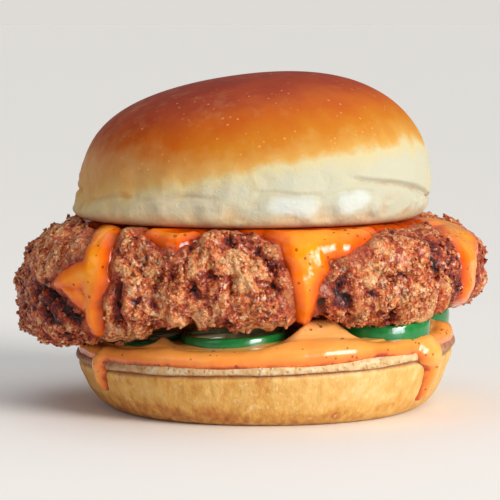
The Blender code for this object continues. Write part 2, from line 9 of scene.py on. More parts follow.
import logging
import math
from collections.abc import Callable, Sequence
from dataclasses import dataclass, field
from enum import Enum
from typing import Any, NamedTuple

import bmesh
import bpy
import numpy as np
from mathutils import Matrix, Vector

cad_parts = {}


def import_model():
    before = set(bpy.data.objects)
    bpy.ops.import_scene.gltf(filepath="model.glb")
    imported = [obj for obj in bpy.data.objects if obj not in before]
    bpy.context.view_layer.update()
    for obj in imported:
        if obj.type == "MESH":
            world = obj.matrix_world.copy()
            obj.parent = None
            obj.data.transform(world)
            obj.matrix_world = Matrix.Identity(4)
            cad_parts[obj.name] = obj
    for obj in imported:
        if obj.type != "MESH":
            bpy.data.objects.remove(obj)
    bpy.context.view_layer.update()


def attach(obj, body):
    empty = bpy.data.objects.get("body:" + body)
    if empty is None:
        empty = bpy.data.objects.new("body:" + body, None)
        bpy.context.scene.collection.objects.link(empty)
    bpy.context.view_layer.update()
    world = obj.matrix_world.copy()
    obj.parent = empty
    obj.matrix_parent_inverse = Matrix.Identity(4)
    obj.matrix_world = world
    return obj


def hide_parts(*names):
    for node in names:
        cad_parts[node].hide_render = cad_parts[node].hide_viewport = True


LOG = logging.getLogger("burger")
MM = 0.001
UP = np.array([0.0, 0.0, 1.0])
GAP = 0.35  # between two pieces that touch
FAR = 99.0  # further than anything here
DOME = 0.66  # the mean height of nuggets

Profile = Callable[[np.ndarray], tuple[np.ndarray, np.ndarray]]
Marks = dict[str, np.ndarray]


class Slot(Enum):
    """Names for the material slots."""

    GLAZED_CRUST = "glazed_crust"
    BUN_CRUST = "bun_crust"
    BREADING = "breading"
    HOT_SAUCE = "hot_sauce"
    BURGER_SAUCE = "burger_sauce"
    CHILLI = "chilli"


# Shaping functions


def ramp(low: float, high: float, value: np.ndarray) -> np.ndarray:
    """A straight step.

    Args:
        low: Where it leaves 0.
        high: Where it reaches 1.
        value: Where it is wanted.

    Returns:
        0 at low and below, 1 at high and above, straight between.
    """
    return np.clip((value - low) / (high - low), 0.0, 1.0)


def smoothstep(low: float, high: float, value: np.ndarray) -> np.ndarray:
    """A smooth step, 3t² - 2t³ of the straight one.

    Args:
        low: Where it leaves 0.
        high: Where it reaches 1.
        value: Where it is wanted.

    Returns:
        0 at low and below, 1 at high and above, smooth between.
    """
    t = ramp(low, high, value)
    return t * t * (3.0 - 2.0 * t)


def signed_power(value: np.ndarray, power: np.ndarray | float) -> np.ndarray:
    """A power that keeps the sign.

    Args:
        value: The numbers.
        power: The power of their sizes.

    Returns:
        The powers, with the numbers' signs.
    """
    return np.sign(value) * np.abs(value) ** power


def turns(count: int) -> np.ndarray:
    """Even angles round a full turn.

    Args:
        count: How many.

    Returns:
        Angles in radians from 0.
    """
    return np.linspace(0.0, 2.0 * math.pi, count, endpoint=False)


def lattice_random(cell: np.ndarray, seed: int) -> np.ndarray:
    """A fixed random number for each cell of space, by mixing the bits of its whole-number place.

    Args:
        cell: Whole-number places, three to a point.
        seed: Chooses the set of numbers.

    Returns:
        One number from 0 to 1 for each point.
    """
    factors = (374761393, 668265263, 1440662683)
    mixed = sum(cell[..., axis] * factor for axis, factor in enumerate(factors)) + seed * 1013904223
    mixed = mixed & 0xFFFFFFFF
    mixed = ((mixed ^ (mixed >> 13)) * 1274126177) & 0xFFFFFFFF
    return (mixed ^ (mixed >> 16)) / 0xFFFFFFFF


def lumps(points: np.ndarray, size: float, seed: int) -> np.ndarray:
    """Smooth swells, from random corners of a cubic lattice blended by smooth weights.

    Args:
        points: Places in millimetres.
        size: Distance across one swell.
        seed: Chooses the swells.

    Returns:
        Heights from -1 to 1.
    """
    scaled = points / size
    cell = np.floor(scaled).astype(np.int64)
    part = scaled - cell
    part = part * part * (3.0 - 2.0 * part)
    total = np.zeros(points.shape[:-1])
    for corner in np.ndindex(2, 2, 2):
        weight = np.prod(np.where(np.array(corner), part, 1.0 - part), axis=-1)
        total += weight * lattice_random(cell + np.array(corner), seed)
    return 2.0 * total - 1.0


def nuggets(points: np.ndarray, size: float, seed: int) -> tuple[np.ndarray, np.ndarray]:
    """Rounded nuggets with creases between: domes over random centres, one in each cube of space.

    Args:
        points: Places in millimetres.
        size: Distance across one nugget.
        seed: Chooses the centres.

    Returns:
        The nuggets' height from 0 to 1, and one random number for each nugget.
    """
    scaled = points / size
    cell = np.floor(scaled).astype(np.int64)
    nearest = np.full(points.shape[:-1], FAR)
    own = np.zeros(points.shape[:-1])
    for step in np.ndindex(3, 3, 3):
        other = cell + np.array(step) - 1
        centre = other + np.stack([lattice_random(other, seed + axis) for axis in range(3)], axis=-1)
        away = ((scaled - centre) ** 2).sum(axis=-1)
        own = np.where(away < nearest, lattice_random(other, seed + 7), own)
        nearest = np.minimum(nearest, away)
    return np.sqrt(np.clip(1.0 - nearest, 0.0, 1.0)), own


def warp(points: np.ndarray, size: float, reach: float, seed: int) -> np.ndarray:
    """Moves points about by smooth swells, so that a pattern on them is less regular.

    Args:
        points: Places in millimetres.
        size: Distance across one swell.
        reach: The furthest a point moves along an axis.
        seed: Chooses the swells; the next two numbers are used too.

    Returns:
        The moved points.
    """
    return points + reach * np.stack([lumps(points, size, seed + axis) for axis in range(3)], axis=-1)


def spaced_rows(
    profile: Profile, stretches: Sequence[tuple[float, int]], first: float = 0.0, last: float = 1.0
) -> np.ndarray:
    """Parameters along a profile, evenly spaced within each stretch of its length.

    Args:
        profile: Gives radius and height for a parameter.
        stretches: The share of the length at which each stretch ends, and its number of rows.
        first: The first parameter.
        last: The last parameter.

    Returns:
        The parameters, one more than all the rows together.
    """
    fine = np.linspace(first, last, 4000)
    radius, height = profile(fine)
    along = np.concatenate([[0.0], np.cumsum(np.hypot(np.diff(radius), np.diff(height)))])
    places = [np.zeros(1)]
    start = 0.0
    for end, rows in stretches:
        places.append(np.linspace(start, end, rows + 1)[1:])
        start = end
    return np.interp(np.concatenate(places), along / along[-1], fine)


def grid_normals(points: np.ndarray) -> np.ndarray:
    """Normals from the cross product of the steps down the rows and round the columns.

    Args:
        points: A grid whose rows run from the top down and whose columns go round and close.

    Returns:
        Outward unit normals.
    """
    down = np.gradient(points, axis=0)
    around = np.roll(points, -1, axis=1) - np.roll(points, 1, axis=1)
    normal = np.cross(down, around)
    return normal / np.maximum(np.linalg.norm(normal, axis=-1, keepdims=True), 1e-9)


def stream_depth(points: np.ndarray, streams: Sequence[Sequence[tuple[float, ...]]]) -> np.ndarray:
    """Depth inside tapering streams: half width less the distance to the nearest stretch of a stream.

    Args:
        points: Places in millimetres.
        streams: Each a run of points (x, y, z, half width).

    Returns:
        Millimetres inside the nearest stream, negative outside.
    """
    best = np.full(points.shape[:-1], -FAR)
    for stream in streams:
        for start, end in zip(stream[:-1], stream[1:], strict=True):
            a, b = np.array(start, float), np.array(end, float)
            run = b[:3] - a[:3]
            share = np.clip(((points - a[:3]) @ run) / (run @ run), 0.0, 1.0)
            middle = a[:3] + share[..., None] * run
            width = a[3] + share * (b[3] - a[3])
            best = np.maximum(best, width - np.linalg.norm(points - middle, axis=-1))
    return best


# Meshes


def new_mesh(name: str, points: np.ndarray, faces: Sequence[np.ndarray], marks: Marks) -> bpy.types.Mesh:
    """A smooth-shaded mesh without points that no face uses.

    Args:
        name: The mesh's name.
        points: Places in millimetres, one row each.
        faces: Arrays of corner numbers, each with faces of one size.
        marks: Numbers for each point, by the attribute's name.

    Returns:
        The mesh, in metres.
    """
    corners = np.concatenate([group.ravel() for group in faces])
    used, corners = np.unique(corners, return_inverse=True)
    sizes = np.concatenate([np.full(len(group), group.shape[1]) for group in faces])
    starts = np.concatenate([[0], np.cumsum(sizes)[:-1]])
    mesh = bpy.data.meshes.new(name)
    mesh.vertices.add(len(used))
    mesh.vertices.foreach_set("co", (points[used] * MM).astype(np.float32).ravel())
    mesh.loops.add(len(corners))
    mesh.loops.foreach_set("vertex_index", corners.astype(np.int32).ravel())
    mesh.polygons.add(len(sizes))
    mesh.polygons.foreach_set("loop_start", starts.astype(np.int32))
    for mark, values in marks.items():
        attribute = mesh.attributes.new(mark, "FLOAT", "POINT")
        attribute.data.foreach_set("value", values.ravel()[used].astype(np.float32))
    mesh.update(calc_edges=True)
    mesh.shade_smooth()
    return mesh


@dataclass
class Wrap:
    """A surface that goes round the object: a grid of points with rows from the top down.

    Attributes:
        points: (rows, columns, 3) places in millimetres.
        marks: (rows, columns) numbers for the materials, by name.
    """

    points: np.ndarray
    marks: Marks = field(default_factory=dict)

    def cells(self) -> np.ndarray:
        """The grid's faces.

        Returns:
            (rows - 1, columns, 4) corner numbers, wound to face outwards.
        """
        rows, columns = self.points.shape[:2]
        index = np.arange(rows * columns).reshape(rows, columns)
        right = np.roll(index, -1, axis=1)
        return np.stack([index[:-1], index[1:], right[1:], right[:-1]], axis=-1)

    def closed_mesh(self, name: str) -> bpy.types.Mesh:
        """The whole grid, with a fan of triangles over its first row and under its last.

        Args:
            name: The mesh's name.

        Returns:
            A closed mesh.
        """
        rows, columns = self.points.shape[:2]
        index = np.arange(rows * columns).reshape(rows, columns)
        middles = np.stack([self.points[0].mean(axis=0), self.points[-1].mean(axis=0)])
        top, bottom = rows * columns, rows * columns + 1
        upper = np.stack([index[0], np.roll(index[0], -1), np.full(columns, top)], axis=-1)
        lower = np.stack([np.roll(index[-1], -1), index[-1], np.full(columns, bottom)], axis=-1)
        marks = {
            mark: np.concatenate([values.ravel(), [values[0].mean(), values[-1].mean()]])
            for mark, values in self.marks.items()
        }
        points = np.concatenate([self.points.reshape(-1, 3), middles])
        return new_mesh(name, points, [self.cells().reshape(-1, 4), upper, lower], marks)

    def patch_mesh(self, name: str, kept: np.ndarray) -> bpy.types.Mesh:
        """Only the faces with a kept corner.

        Args:
            name: The mesh's name.
            kept: (rows, columns) true for the points to keep.

        Returns:
            An open mesh whose border lies under another piece's surface.
        """
        beside = np.roll(kept, -1, axis=1)
        wanted = kept[:-1] | kept[1:] | beside[:-1] | beside[1:]
        return new_mesh(name, self.points.reshape(-1, 3), [self.cells()[wanted]], self.marks)


def publish(
    mesh: bpy.types.Mesh, finish: Finish, replaces: Sequence[str] = ()
) -> bpy.types.Object:
    """Puts a piece in the scene, parents it to the root body and hides the CAD nodes that it replaces.

    Args:
        mesh: Its mesh, whose name becomes the piece's.
        finish: What it is made of.
        replaces: The CAD nodes that it stands for.

    Returns:
        The piece.
    """
    piece = bpy.data.objects.new(mesh.name, mesh)
    bpy.context.scene.collection.objects.link(piece)
    mesh.materials.append(finish.material())
    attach(piece, "root")
    if replaces:
        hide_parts(*replaces)
    LOG.info("%s: %d faces, %s", piece.name, len(mesh.polygons), finish.name)
    return piece


# Materials


def linear(code: str) -> tuple[float, float, float, float]:
    """Turns an sRGB colour to the linear values that shaders take.

    Args:
        code: Six hex digits after a hash.

    Returns:
        Red, green, blue and an alpha of 1.
    """
    shares = [int(code[place : place + 2], 16) / 255.0 for place in (1, 3, 5)]
    red, green, blue = (c / 12.92 if c <= 0.04045 else ((c + 0.055) / 1.055) ** 2.4 for c in shares)
    return red, green, blue, 1.0


def per_metre(size: float) -> float:
    """The scale of a texture whose features are so many millimetres across.

    Args:
        size: Millimetres.

    Returns:
        The scale for Object coordinates, which are in metres.
    """
    return 1.0 / (size * MM)


Inputs = dict[str | int, Any]
Stops = tuple[tuple[float, str], ...]

MATH = "ShaderNodeMath"
MARK = "ShaderNodeAttribute"  # a number painted on the mesh
NOISE = "ShaderNodeTexNoise"  # clouds around 0.5
CELLS = "ShaderNodeTexVoronoi"  # distance from scattered points
RANGE = "ShaderNodeMapRange"  # inputs: value, from low, from high, to low, to high
RAMP = "ShaderNodeValToRGB"
MIX = "ShaderNodeMix"  # colour inputs: 0 factor, 6 first, 7 second; output 2


@dataclass
class Graph:
    """A material's nodes, added one at a time.

    Attributes:
        tree: The material's node tree.
    """

    tree: bpy.types.NodeTree

    def add(
        self, kind: str, inputs: Inputs, output: str | int = 0, stops: Stops = (), **settings: Any
    ) -> Any:
        """Adds a node, sets it and links it.

        Args:
            kind: The node's type.
            inputs: For each input, a value or the socket that feeds it.
            output: The output that is wanted.
            stops: Places from 0 to 1 and their colours, for a colour ramp.
            **settings: The node's own properties.

        Returns:
            The wanted output socket.
        """
        node = self.tree.nodes.new(kind)
        for name, value in settings.items():
            setattr(node, name, value)
        for name, value in inputs.items():
            if isinstance(value, bpy.types.NodeSocket):
                self.tree.links.new(value, node.inputs[name])
            else:
                node.inputs[name].default_value = value
        for _ in stops[2:]:
            node.color_ramp.elements.new(1.0)
        for number, (place, code) in enumerate(stops):
            node.color_ramp.elements[number].position = place
            node.color_ramp.elements[number].color = linear(code)
        return node.outputs[output]

    def sum(self, *terms: tuple[Any, float]) -> Any:
        """A weighted sum.

        Args:
            *terms: Sockets or numbers, each with its weight.

        Returns:
            The sum's socket.
        """
        total: Any = 0.0
        for term, weight in terms:
            total = self.add(MATH, {0: term, 1: weight, 2: total}, operation="MULTIPLY_ADD")
        return total

    def bump(self, layers: Sequence[tuple[Any, float]]) -> Any:
        """Relief too fine for the mesh.

        Args:
            layers: Sockets from 0 to 1, and the millimetres that each stands for.

        Returns:
            The normal's socket.
        """
        normal = None
        for height, depth in layers:
            inputs: Inputs = {"Height": height, "Distance": depth * MM}
            if normal:
                inputs["Normal"] = normal
            normal = self.add("ShaderNodeBump", inputs)
        return normal


@dataclass(frozen=True)
class Finish:
    """What a surface is made of; each kind paints its own pattern.

    Attributes:
        name: The material's name.
        ior: Index of refraction.
        roughness: Where the pattern doesn't drive it.
        subsurface: How much light passes through the surface.
        reach: How far red, green and blue light travel inside, in millimetres.
        coat: Strength of a clear wet layer.
        coat_roughness: Of that layer.
    """

    name: str
    ior: float = 1.45
    roughness: float = 0.5
    subsurface: float = 0.0
    reach: tuple[float, float, float] = (1.0, 0.5, 0.25)
    coat: float = 0.0
    coat_roughness: float = 0.1

    def material(self) -> bpy.types.Material:
        """Makes the material, or finds it if another piece has made it.

        Returns:
            The material.
        """
        if self.name in bpy.data.materials:
            return bpy.data.materials[self.name]
        material = bpy.data.materials.new(self.name)
        material.use_nodes = True
        shader = material.node_tree.nodes["Principled BSDF"]
        values = {
            "IOR": self.ior,
            "Roughness": self.roughness,
            "Subsurface Weight": self.subsurface,
            "Subsurface Radius": self.reach,
            "Subsurface Scale": MM,
            "Coat Weight": self.coat,
            "Coat Roughness": self.coat_roughness,
        }
        for name, value in values.items():
            shader.inputs[name].default_value = value
        graph = Graph(material.node_tree)
        for name, socket in self.paint(graph).items():
            material.node_tree.links.new(socket, shader.inputs[name])
        return material

    def paint(self, graph: Graph) -> dict[str, Any]:
        """The pattern.

        Args:
            graph: Where its nodes go.

        Returns:
            The sockets that feed the shader, by its inputs' names.
        """
        raise NotImplementedError


class GlazedCrust(Finish):
    """Egg-washed bun: red-brown and shiny on top, gold lower down, soft cream where it never browned."""

    def paint(self, graph: Graph) -> dict[str, Any]:
        """Browning comes from the mesh, with painted shade towards -X and in creases and a painted highlight on
        the front swellings; mottling, tiny blisters and wrinkles break it up.

        Args:
            graph: Where its nodes go.

        Returns:
            Colour, roughness and normal sockets.
        """
        at = graph.add("ShaderNodeTexCoord", {}, output="Object")
        baked = graph.add(MARK, {}, output="Fac", attribute_name="baked")
        mottle = graph.add(NOISE, {"Vector": at, "Scale": per_metre(9.0), "Detail": 4.0, "Roughness": 0.6})
        fine = graph.add(NOISE, {"Vector": at, "Scale": per_metre(1.6), "Detail": 2.0, "Roughness": 0.55})
        factor = graph.sum((baked, 1.0), (mottle, 0.16), (fine, 0.05), (1.0, -0.105))
        crust = graph.add(
            RAMP,
            {0: factor},
            stops=(
                (0.0, "#c2c1ac"),
                (0.12, "#ccc094"),
                (0.21, "#cc9a4a"),
                (0.33, "#c27619"),
                (0.49, "#bd5a0b"),
                (0.67, "#a13806"),
                (0.86, "#8a2204"),
                (1.0, "#6e1804"),
            ),
        )
        # Tan and toast mix real colour with painted shade; pale mixes whiter crumb with a painted highlight.
        for mark, size, detail, weight, offset, low, high, most, code in (
            ("tan", 5.0, 4.0, 0.8, -0.40, 0.1, 0.95, 0.58, "#dab880"),
            ("pale", 3.0, 3.0, 0.7, -0.35, 0.2, 0.9, 0.75, "#cfd8d6"),
            ("toast", 3.0, 3.0, 0.7, -0.42, 0.15, 0.9, 0.75, "#b0743c"),
        ):
            painted = graph.add(MARK, {}, output="Fac", attribute_name=mark)
            cloud = graph.add(NOISE, {"Vector": at, "Scale": per_metre(size), "Detail": detail, "Roughness": 0.55})
            amount = graph.sum((painted, 1.0), (cloud, weight), (1.0, offset))
            amount = graph.add(RANGE, {0: amount, 1: low, 2: high, 3: 0.0, 4: most})
            crust = graph.add(MIX, {0: amount, 6: crust, 7: linear(code)}, output=2, data_type="RGBA")
        soaked = graph.add(MARK, {}, output="Fac", attribute_name="soaked")
        crust = graph.add(MIX, {0: soaked, 6: crust, 7: linear("#b8481a")}, output=2, data_type="RGBA")
        points = graph.add(CELLS, {"Vector": at, "Scale": per_metre(2.3)})
        blister = graph.add(RANGE, {0: points, 1: 0.06, 2: 0.20, 3: 1.0, 4: 0.0})
        cloud = graph.add(NOISE, {"Vector": at, "Scale": per_metre(9.0), "Detail": 3.0, "Roughness": 0.55})
        speckled = graph.add(RANGE, {0: cloud, 1: 0.43, 2: 0.58, 3: 0.0, 4: 0.6})
        speckled = graph.add(MATH, {0: speckled, 1: blister}, operation="MULTIPLY")
        browned = graph.add(RANGE, {0: baked, 1: 0.1, 2: 0.3})
        speckled = graph.add(MATH, {0: speckled, 1: browned}, operation="MULTIPLY")
        crust = graph.add(MIX, {0: speckled, 6: crust, 7: linear("#efb264")}, output=2, data_type="RGBA")
        crumb = graph.add(NOISE, {"Vector": at, "Scale": per_metre(1.4), "Detail": 3.0, "Roughness": 0.55})
        flat = graph.add("ShaderNodeMapping", {"Vector": at, "Scale": (1.0, 1.0, 1.5)})
        wrinkle = graph.add(NOISE, {"Vector": flat, "Scale": per_metre(4.5), "Detail": 4.0, "Roughness": 0.55})
        soft = graph.add(RANGE, {0: baked, 1: 0.05, 2: 0.35, 3: 1.0, 4: 0.0})
        crumb_height = graph.add(MATH, {0: crumb, 1: soft}, operation="MULTIPLY")
        normal = graph.bump(((crumb_height, 0.28), (wrinkle, 0.16), (blister, 0.07)))
        roughness = graph.add(RANGE, {0: factor, 1: 0.12, 2: 0.55, 3: 0.85, 4: 0.42})
        return {"Base Color": crust, "Roughness": roughness, "Normal": normal}


class GoldenCrust(Finish):
    """Side of the bottom bun: wrinkled gold crust, browner near its foot, with a pale crumb band above."""

    def paint(self, graph: Graph) -> dict[str, Any]:
        """The crust's browning, painted darker on its left and in fold valleys as shade, the pale band, and its
        toasted edges, in part a painted shadow, come from the mesh.

        Args:
            graph: Where its nodes go.

        Returns:
            Colour, roughness and normal sockets.
        """
        at = graph.add("ShaderNodeTexCoord", {}, output="Object")
        tall = graph.add("ShaderNodeMapping", {"Vector": at, "Scale": (1.0, 1.0, 0.5)})
        taller = graph.add("ShaderNodeMapping", {"Vector": at, "Scale": (1.0, 1.0, 0.6)})
        baked = graph.add(MARK, {}, output="Fac", attribute_name="baked")
        is_crumb = graph.add(MARK, {}, output="Fac", attribute_name="crumb")
        toasted_and_shaded = graph.add(MARK, {}, output="Fac", attribute_name="toast")
        mottle = graph.add(NOISE, {"Vector": at, "Scale": per_metre(8.0), "Detail": 4.0, "Roughness": 0.62})
        streaks = graph.add(NOISE, {"Vector": tall, "Scale": per_metre(2.0), "Detail": 3.0, "Roughness": 0.55})
        factor = graph.sum((baked, 1.0), (mottle, 0.50), (streaks, 0.72), (1.0, -0.61))
        crust = graph.add(
            RAMP,
            {0: factor},
            stops=(
                (0.0, "#e9cc8f"),
                (0.25, "#e0b66a"),
                (0.5, "#d6a04c"),
                (0.75, "#b9712b"),
                (1.0, "#834218"),
            ),
        )
        cloud = graph.add(NOISE, {"Vector": at, "Scale": per_metre(2.2), "Detail": 4.0, "Roughness": 0.55})
        flecks = graph.add(RANGE, {0: cloud, 1: 0.6, 2: 0.74, 3: 0.0, 4: 0.45})
        crust = graph.add(MIX, {0: flecks, 6: crust, 7: linear("#f3dcae")}, output=2, data_type="RGBA")
        points = graph.add(CELLS, {"Vector": at, "Scale": per_metre(1.3)})
        pores = graph.add(RANGE, {0: points, 1: 0.05, 2: 0.45})
        cloud = graph.add(NOISE, {"Vector": at, "Scale": per_metre(2.4), "Detail": 4.0, "Roughness": 0.55})
        # The crumb is painted darker at the pores' middles: painted shade in the pits.
        factor = graph.sum((cloud, 0.85), (pores, 0.12))
        crumb = graph.add(RAMP, {0: factor}, stops=((0.25, "#b0824a"), (0.5, "#d6b47e"), (0.75, "#e8dab8")))
        colour = graph.add(MIX, {0: is_crumb, 6: crust, 7: crumb}, output=2, data_type="RGBA")
        cloud = graph.add(NOISE, {"Vector": at, "Scale": per_metre(2.2), "Detail": 3.0, "Roughness": 0.55})
        # Toasted places, with painted shade and shadow, are mixed towards dark red-brown.
        toast = graph.sum((toasted_and_shaded, 1.0), (cloud, 0.5), (1.0, -0.25))
        toast = graph.add(RANGE, {0: toast, 1: 0.2, 2: 1.0, 3: 0.0, 4: 0.92})
        colour = graph.add(MIX, {0: toast, 6: colour, 7: linear("#8a3a10")}, output=2, data_type="RGBA")
        skin = graph.add(NOISE, {"Vector": taller, "Scale": per_metre(1.6), "Detail": 4.0, "Roughness": 0.55})
        crumb_height = graph.add(MATH, {0: pores, 1: is_crumb}, operation="MULTIPLY")
        normal = graph.bump(((crumb_height, 0.3), (skin, 0.5)))
        return {"Base Color": colour, "Normal": normal}


class FriedBreading(Finish):
    """Deep-fried seasoned flour: near black-red creases, rust slopes and golden tips, here and there oily; the
    dark creases and bright tips are painted shade and light.
    """

    def paint(self, graph: Graph) -> dict[str, Any]:
        """Height, painted as shade in the creases and light on the tips, each nugget's own tone and staining by
        sauce come from the mesh.

        Args:
            graph: Where its nodes go.

        Returns:
            Colour, roughness and normal sockets.
        """
        at = graph.add("ShaderNodeTexCoord", {}, output="Object")
        crag = graph.add(MARK, {}, output="Fac", attribute_name="crag")
        tone = graph.add(MARK, {}, output="Fac", attribute_name="tone")
        cloud = graph.add(NOISE, {"Vector": at, "Scale": per_metre(1.5), "Detail": 4.0, "Roughness": 0.65})
        grain = graph.add(RANGE, {0: cloud, 1: 0.34, 2: 0.66})
        patch = graph.add(NOISE, {"Vector": at, "Scale": per_metre(13.0), "Detail": 3.0, "Roughness": 0.55})
        # Crag darkens the creases and lightens the tips: painted shade and light.
        factor = graph.sum((crag, 1.3), (tone, 0.54), (grain, 0.52), (patch, 0.42), (1.0, -1.24))
        colour = graph.add(
            RAMP,
            {0: factor},
            stops=(
                (0.0, "#1c0706"),
                (0.10, "#3f0d07"),
                (0.22, "#641206"),
                (0.38, "#982708"),
                (0.51, "#b8410f"),
                (0.65, "#d55f25"),
                (0.80, "#ed8b46"),
                (1.0, "#fbb776"),
            ),
        )
        # Painted glints: near-white spots on the high places, standing in for highlights.
        cloud = graph.add(NOISE, {"Vector": at, "Scale": per_metre(1.2), "Detail": 2.0, "Roughness": 0.55})
        glint = graph.add(RANGE, {0: cloud, 1: 0.56, 2: 0.68, 3: 0.0, 4: 0.95})
        high = graph.add(RANGE, {0: factor, 1: 0.4, 2: 0.62})
        painted_glints = graph.add(MATH, {0: glint, 1: high}, operation="MULTIPLY")
        colour = graph.add(MIX, {0: painted_glints, 6: colour, 7: linear("#ffdab4")}, output=2, data_type="RGBA")
        cloud = graph.add(NOISE, {"Vector": at, "Scale": per_metre(8.0), "Detail": 2.0, "Roughness": 0.55})
        char = graph.add(RANGE, {0: cloud, 1: 0.56, 2: 0.66, 3: 0.0, 4: 0.3})
        colour = graph.add(MIX, {0: char, 6: colour, 7: linear("#6b2a2c")}, output=2, data_type="RGBA")
        sauced = graph.add(MARK, {}, output="Fac", attribute_name="stain")
        cloud = graph.add(NOISE, {"Vector": at, "Scale": per_metre(3.0), "Detail": 3.0, "Roughness": 0.55})
        stain = graph.sum((sauced, 1.0), (cloud, 0.5), (1.0, -0.25))
        stain = graph.add(RANGE, {0: stain, 1: 0.25, 2: 1.0, 3: 0.0, 4: 0.7})
        colour = graph.add(MIX, {0: stain, 6: colour, 7: linear("#b0401a")}, output=2, data_type="RGBA")
        cloud = graph.add(NOISE, {"Vector": at, "Scale": per_metre(4.0), "Detail": 3.0, "Roughness": 0.55})
        roughness = graph.add(RANGE, {0: cloud, 1: 0.35, 2: 0.65, 3: 0.28, 4: 0.6})
        flakes = graph.add(CELLS, {"Vector": at, "Scale": per_metre(0.9)})
        normal = graph.bump(((grain, 0.7), (flakes, 0.45)))
        return {"Base Color": colour, "Roughness": roughness, "Normal": normal}


class Sauce(Finish):
    """Thick glossy sauce with chilli flecks, darker red where it lies thin."""

    def colours(self) -> tuple[Stops, str]:
        """The sauce's own colours.

        Returns:
            Stops from thin to thick, and the flecks' colour.
        """
        raise NotImplementedError

    def paint(self, graph: Graph) -> dict[str, Any]:
        """Thickness, and painted shadow where the sauce lies under the top bun or at its lower edge, comes from
        the mesh; flecks are scattered through it.

        Args:
            graph: Where its nodes go.

        Returns:
            Colour and normal sockets.
        """
        stops, fleck = self.colours()
        at = graph.add("ShaderNodeTexCoord", {}, output="Object")
        thick = graph.add(MARK, {}, output="Fac", attribute_name="thick")
        swirl = graph.add(NOISE, {"Vector": at, "Scale": per_metre(7.0), "Detail": 3.0, "Roughness": 0.55})
        factor = graph.sum((thick, 0.8), (swirl, 0.5), (1.0, -0.2))
        colour = graph.add(RAMP, {0: factor}, stops=stops)
        cloud = graph.add(NOISE, {"Vector": at, "Scale": per_metre(5.0), "Detail": 3.0, "Roughness": 0.55})
        size = graph.add(RANGE, {0: cloud, 1: 0.42, 2: 0.68, 3: 0.05, 4: 0.28})
        points = graph.add(CELLS, {"Vector": at, "Scale": per_metre(2.3)})
        near = graph.add(MATH, {0: points, 1: size}, operation="LESS_THAN")
        amount = graph.add(MATH, {0: near, 1: 0.72}, operation="MULTIPLY")
        colour = graph.add(MIX, {0: amount, 6: colour, 7: linear(fleck)}, output=2, data_type="RGBA")
        ripple = graph.add(NOISE, {"Vector": at, "Scale": per_metre(3.4), "Detail": 2.0, "Roughness": 0.55})
        normal = graph.bump(((ripple, 0.2), (near, 0.05)))
        return {"Base Color": colour, "Normal": normal}


class HotSauceFinish(Sauce):
    """Vivid orange chilli sauce."""

    def colours(self) -> tuple[Stops, str]:
        """The sauce's own colours.

        Returns:
            Stops from thin to thick, and the flecks' colour.
        """
        return ((0.1, "#c03802"), (0.4, "#ec6800"), (0.7, "#f88a02"), (1.0, "#fca208")), "#7a1f0a"


class BurgerSauceFinish(Sauce):
    """Pale orange sauce with mayonnaise in it."""

    def colours(self) -> tuple[Stops, str]:
        """The sauce's own colours.

        Returns:
            Stops from thin to thick, and the flecks' colour.
        """
        # The thinnest edge is dark red-brown: sauce soaked into the bun, and in part a painted contact shadow
        # along its lower edge.
        edge = ((0.08, "#a83a14"), (0.18, "#ee8032"))
        return (*edge, (0.4, "#fba046"), (0.7, "#ffb054"), (1.0, "#ffc47a")), "#8a2c12"


class ChilliFlesh(Finish):
    """Green chilli: dark waxy skin, wet pale flesh."""

    def paint(self, graph: Graph) -> dict[str, Any]:
        """How far in from the skin a point lies comes from the mesh.

        Args:
            graph: Where its nodes go.

        Returns:
            Colour, roughness and normal sockets.
        """
        at = graph.add("ShaderNodeTexCoord", {}, output="Object")
        inward = graph.add(MARK, {}, output="Fac", attribute_name="inward")
        cloud = graph.add(NOISE, {"Vector": at, "Scale": per_metre(2.5), "Detail": 3.0, "Roughness": 0.55})
        depth = graph.sum((inward, 1.0), (cloud, 0.12), (1.0, -0.06))
        colour = graph.add(
            RAMP,
            {0: depth},
            stops=(
                (0.0, "#0b7a34"),
                (0.10, "#2a9a45"),
                (0.20, "#78bd55"),
                (0.45, "#b2d67e"),
                (0.85, "#dcebbd"),
            ),
        )
        skin = graph.add(NOISE, {"Vector": at, "Scale": per_metre(1.4), "Detail": 3.0, "Roughness": 0.55})
        return {"Base Color": colour, "Normal": graph.bump(((skin, 0.08),))}


# The burger


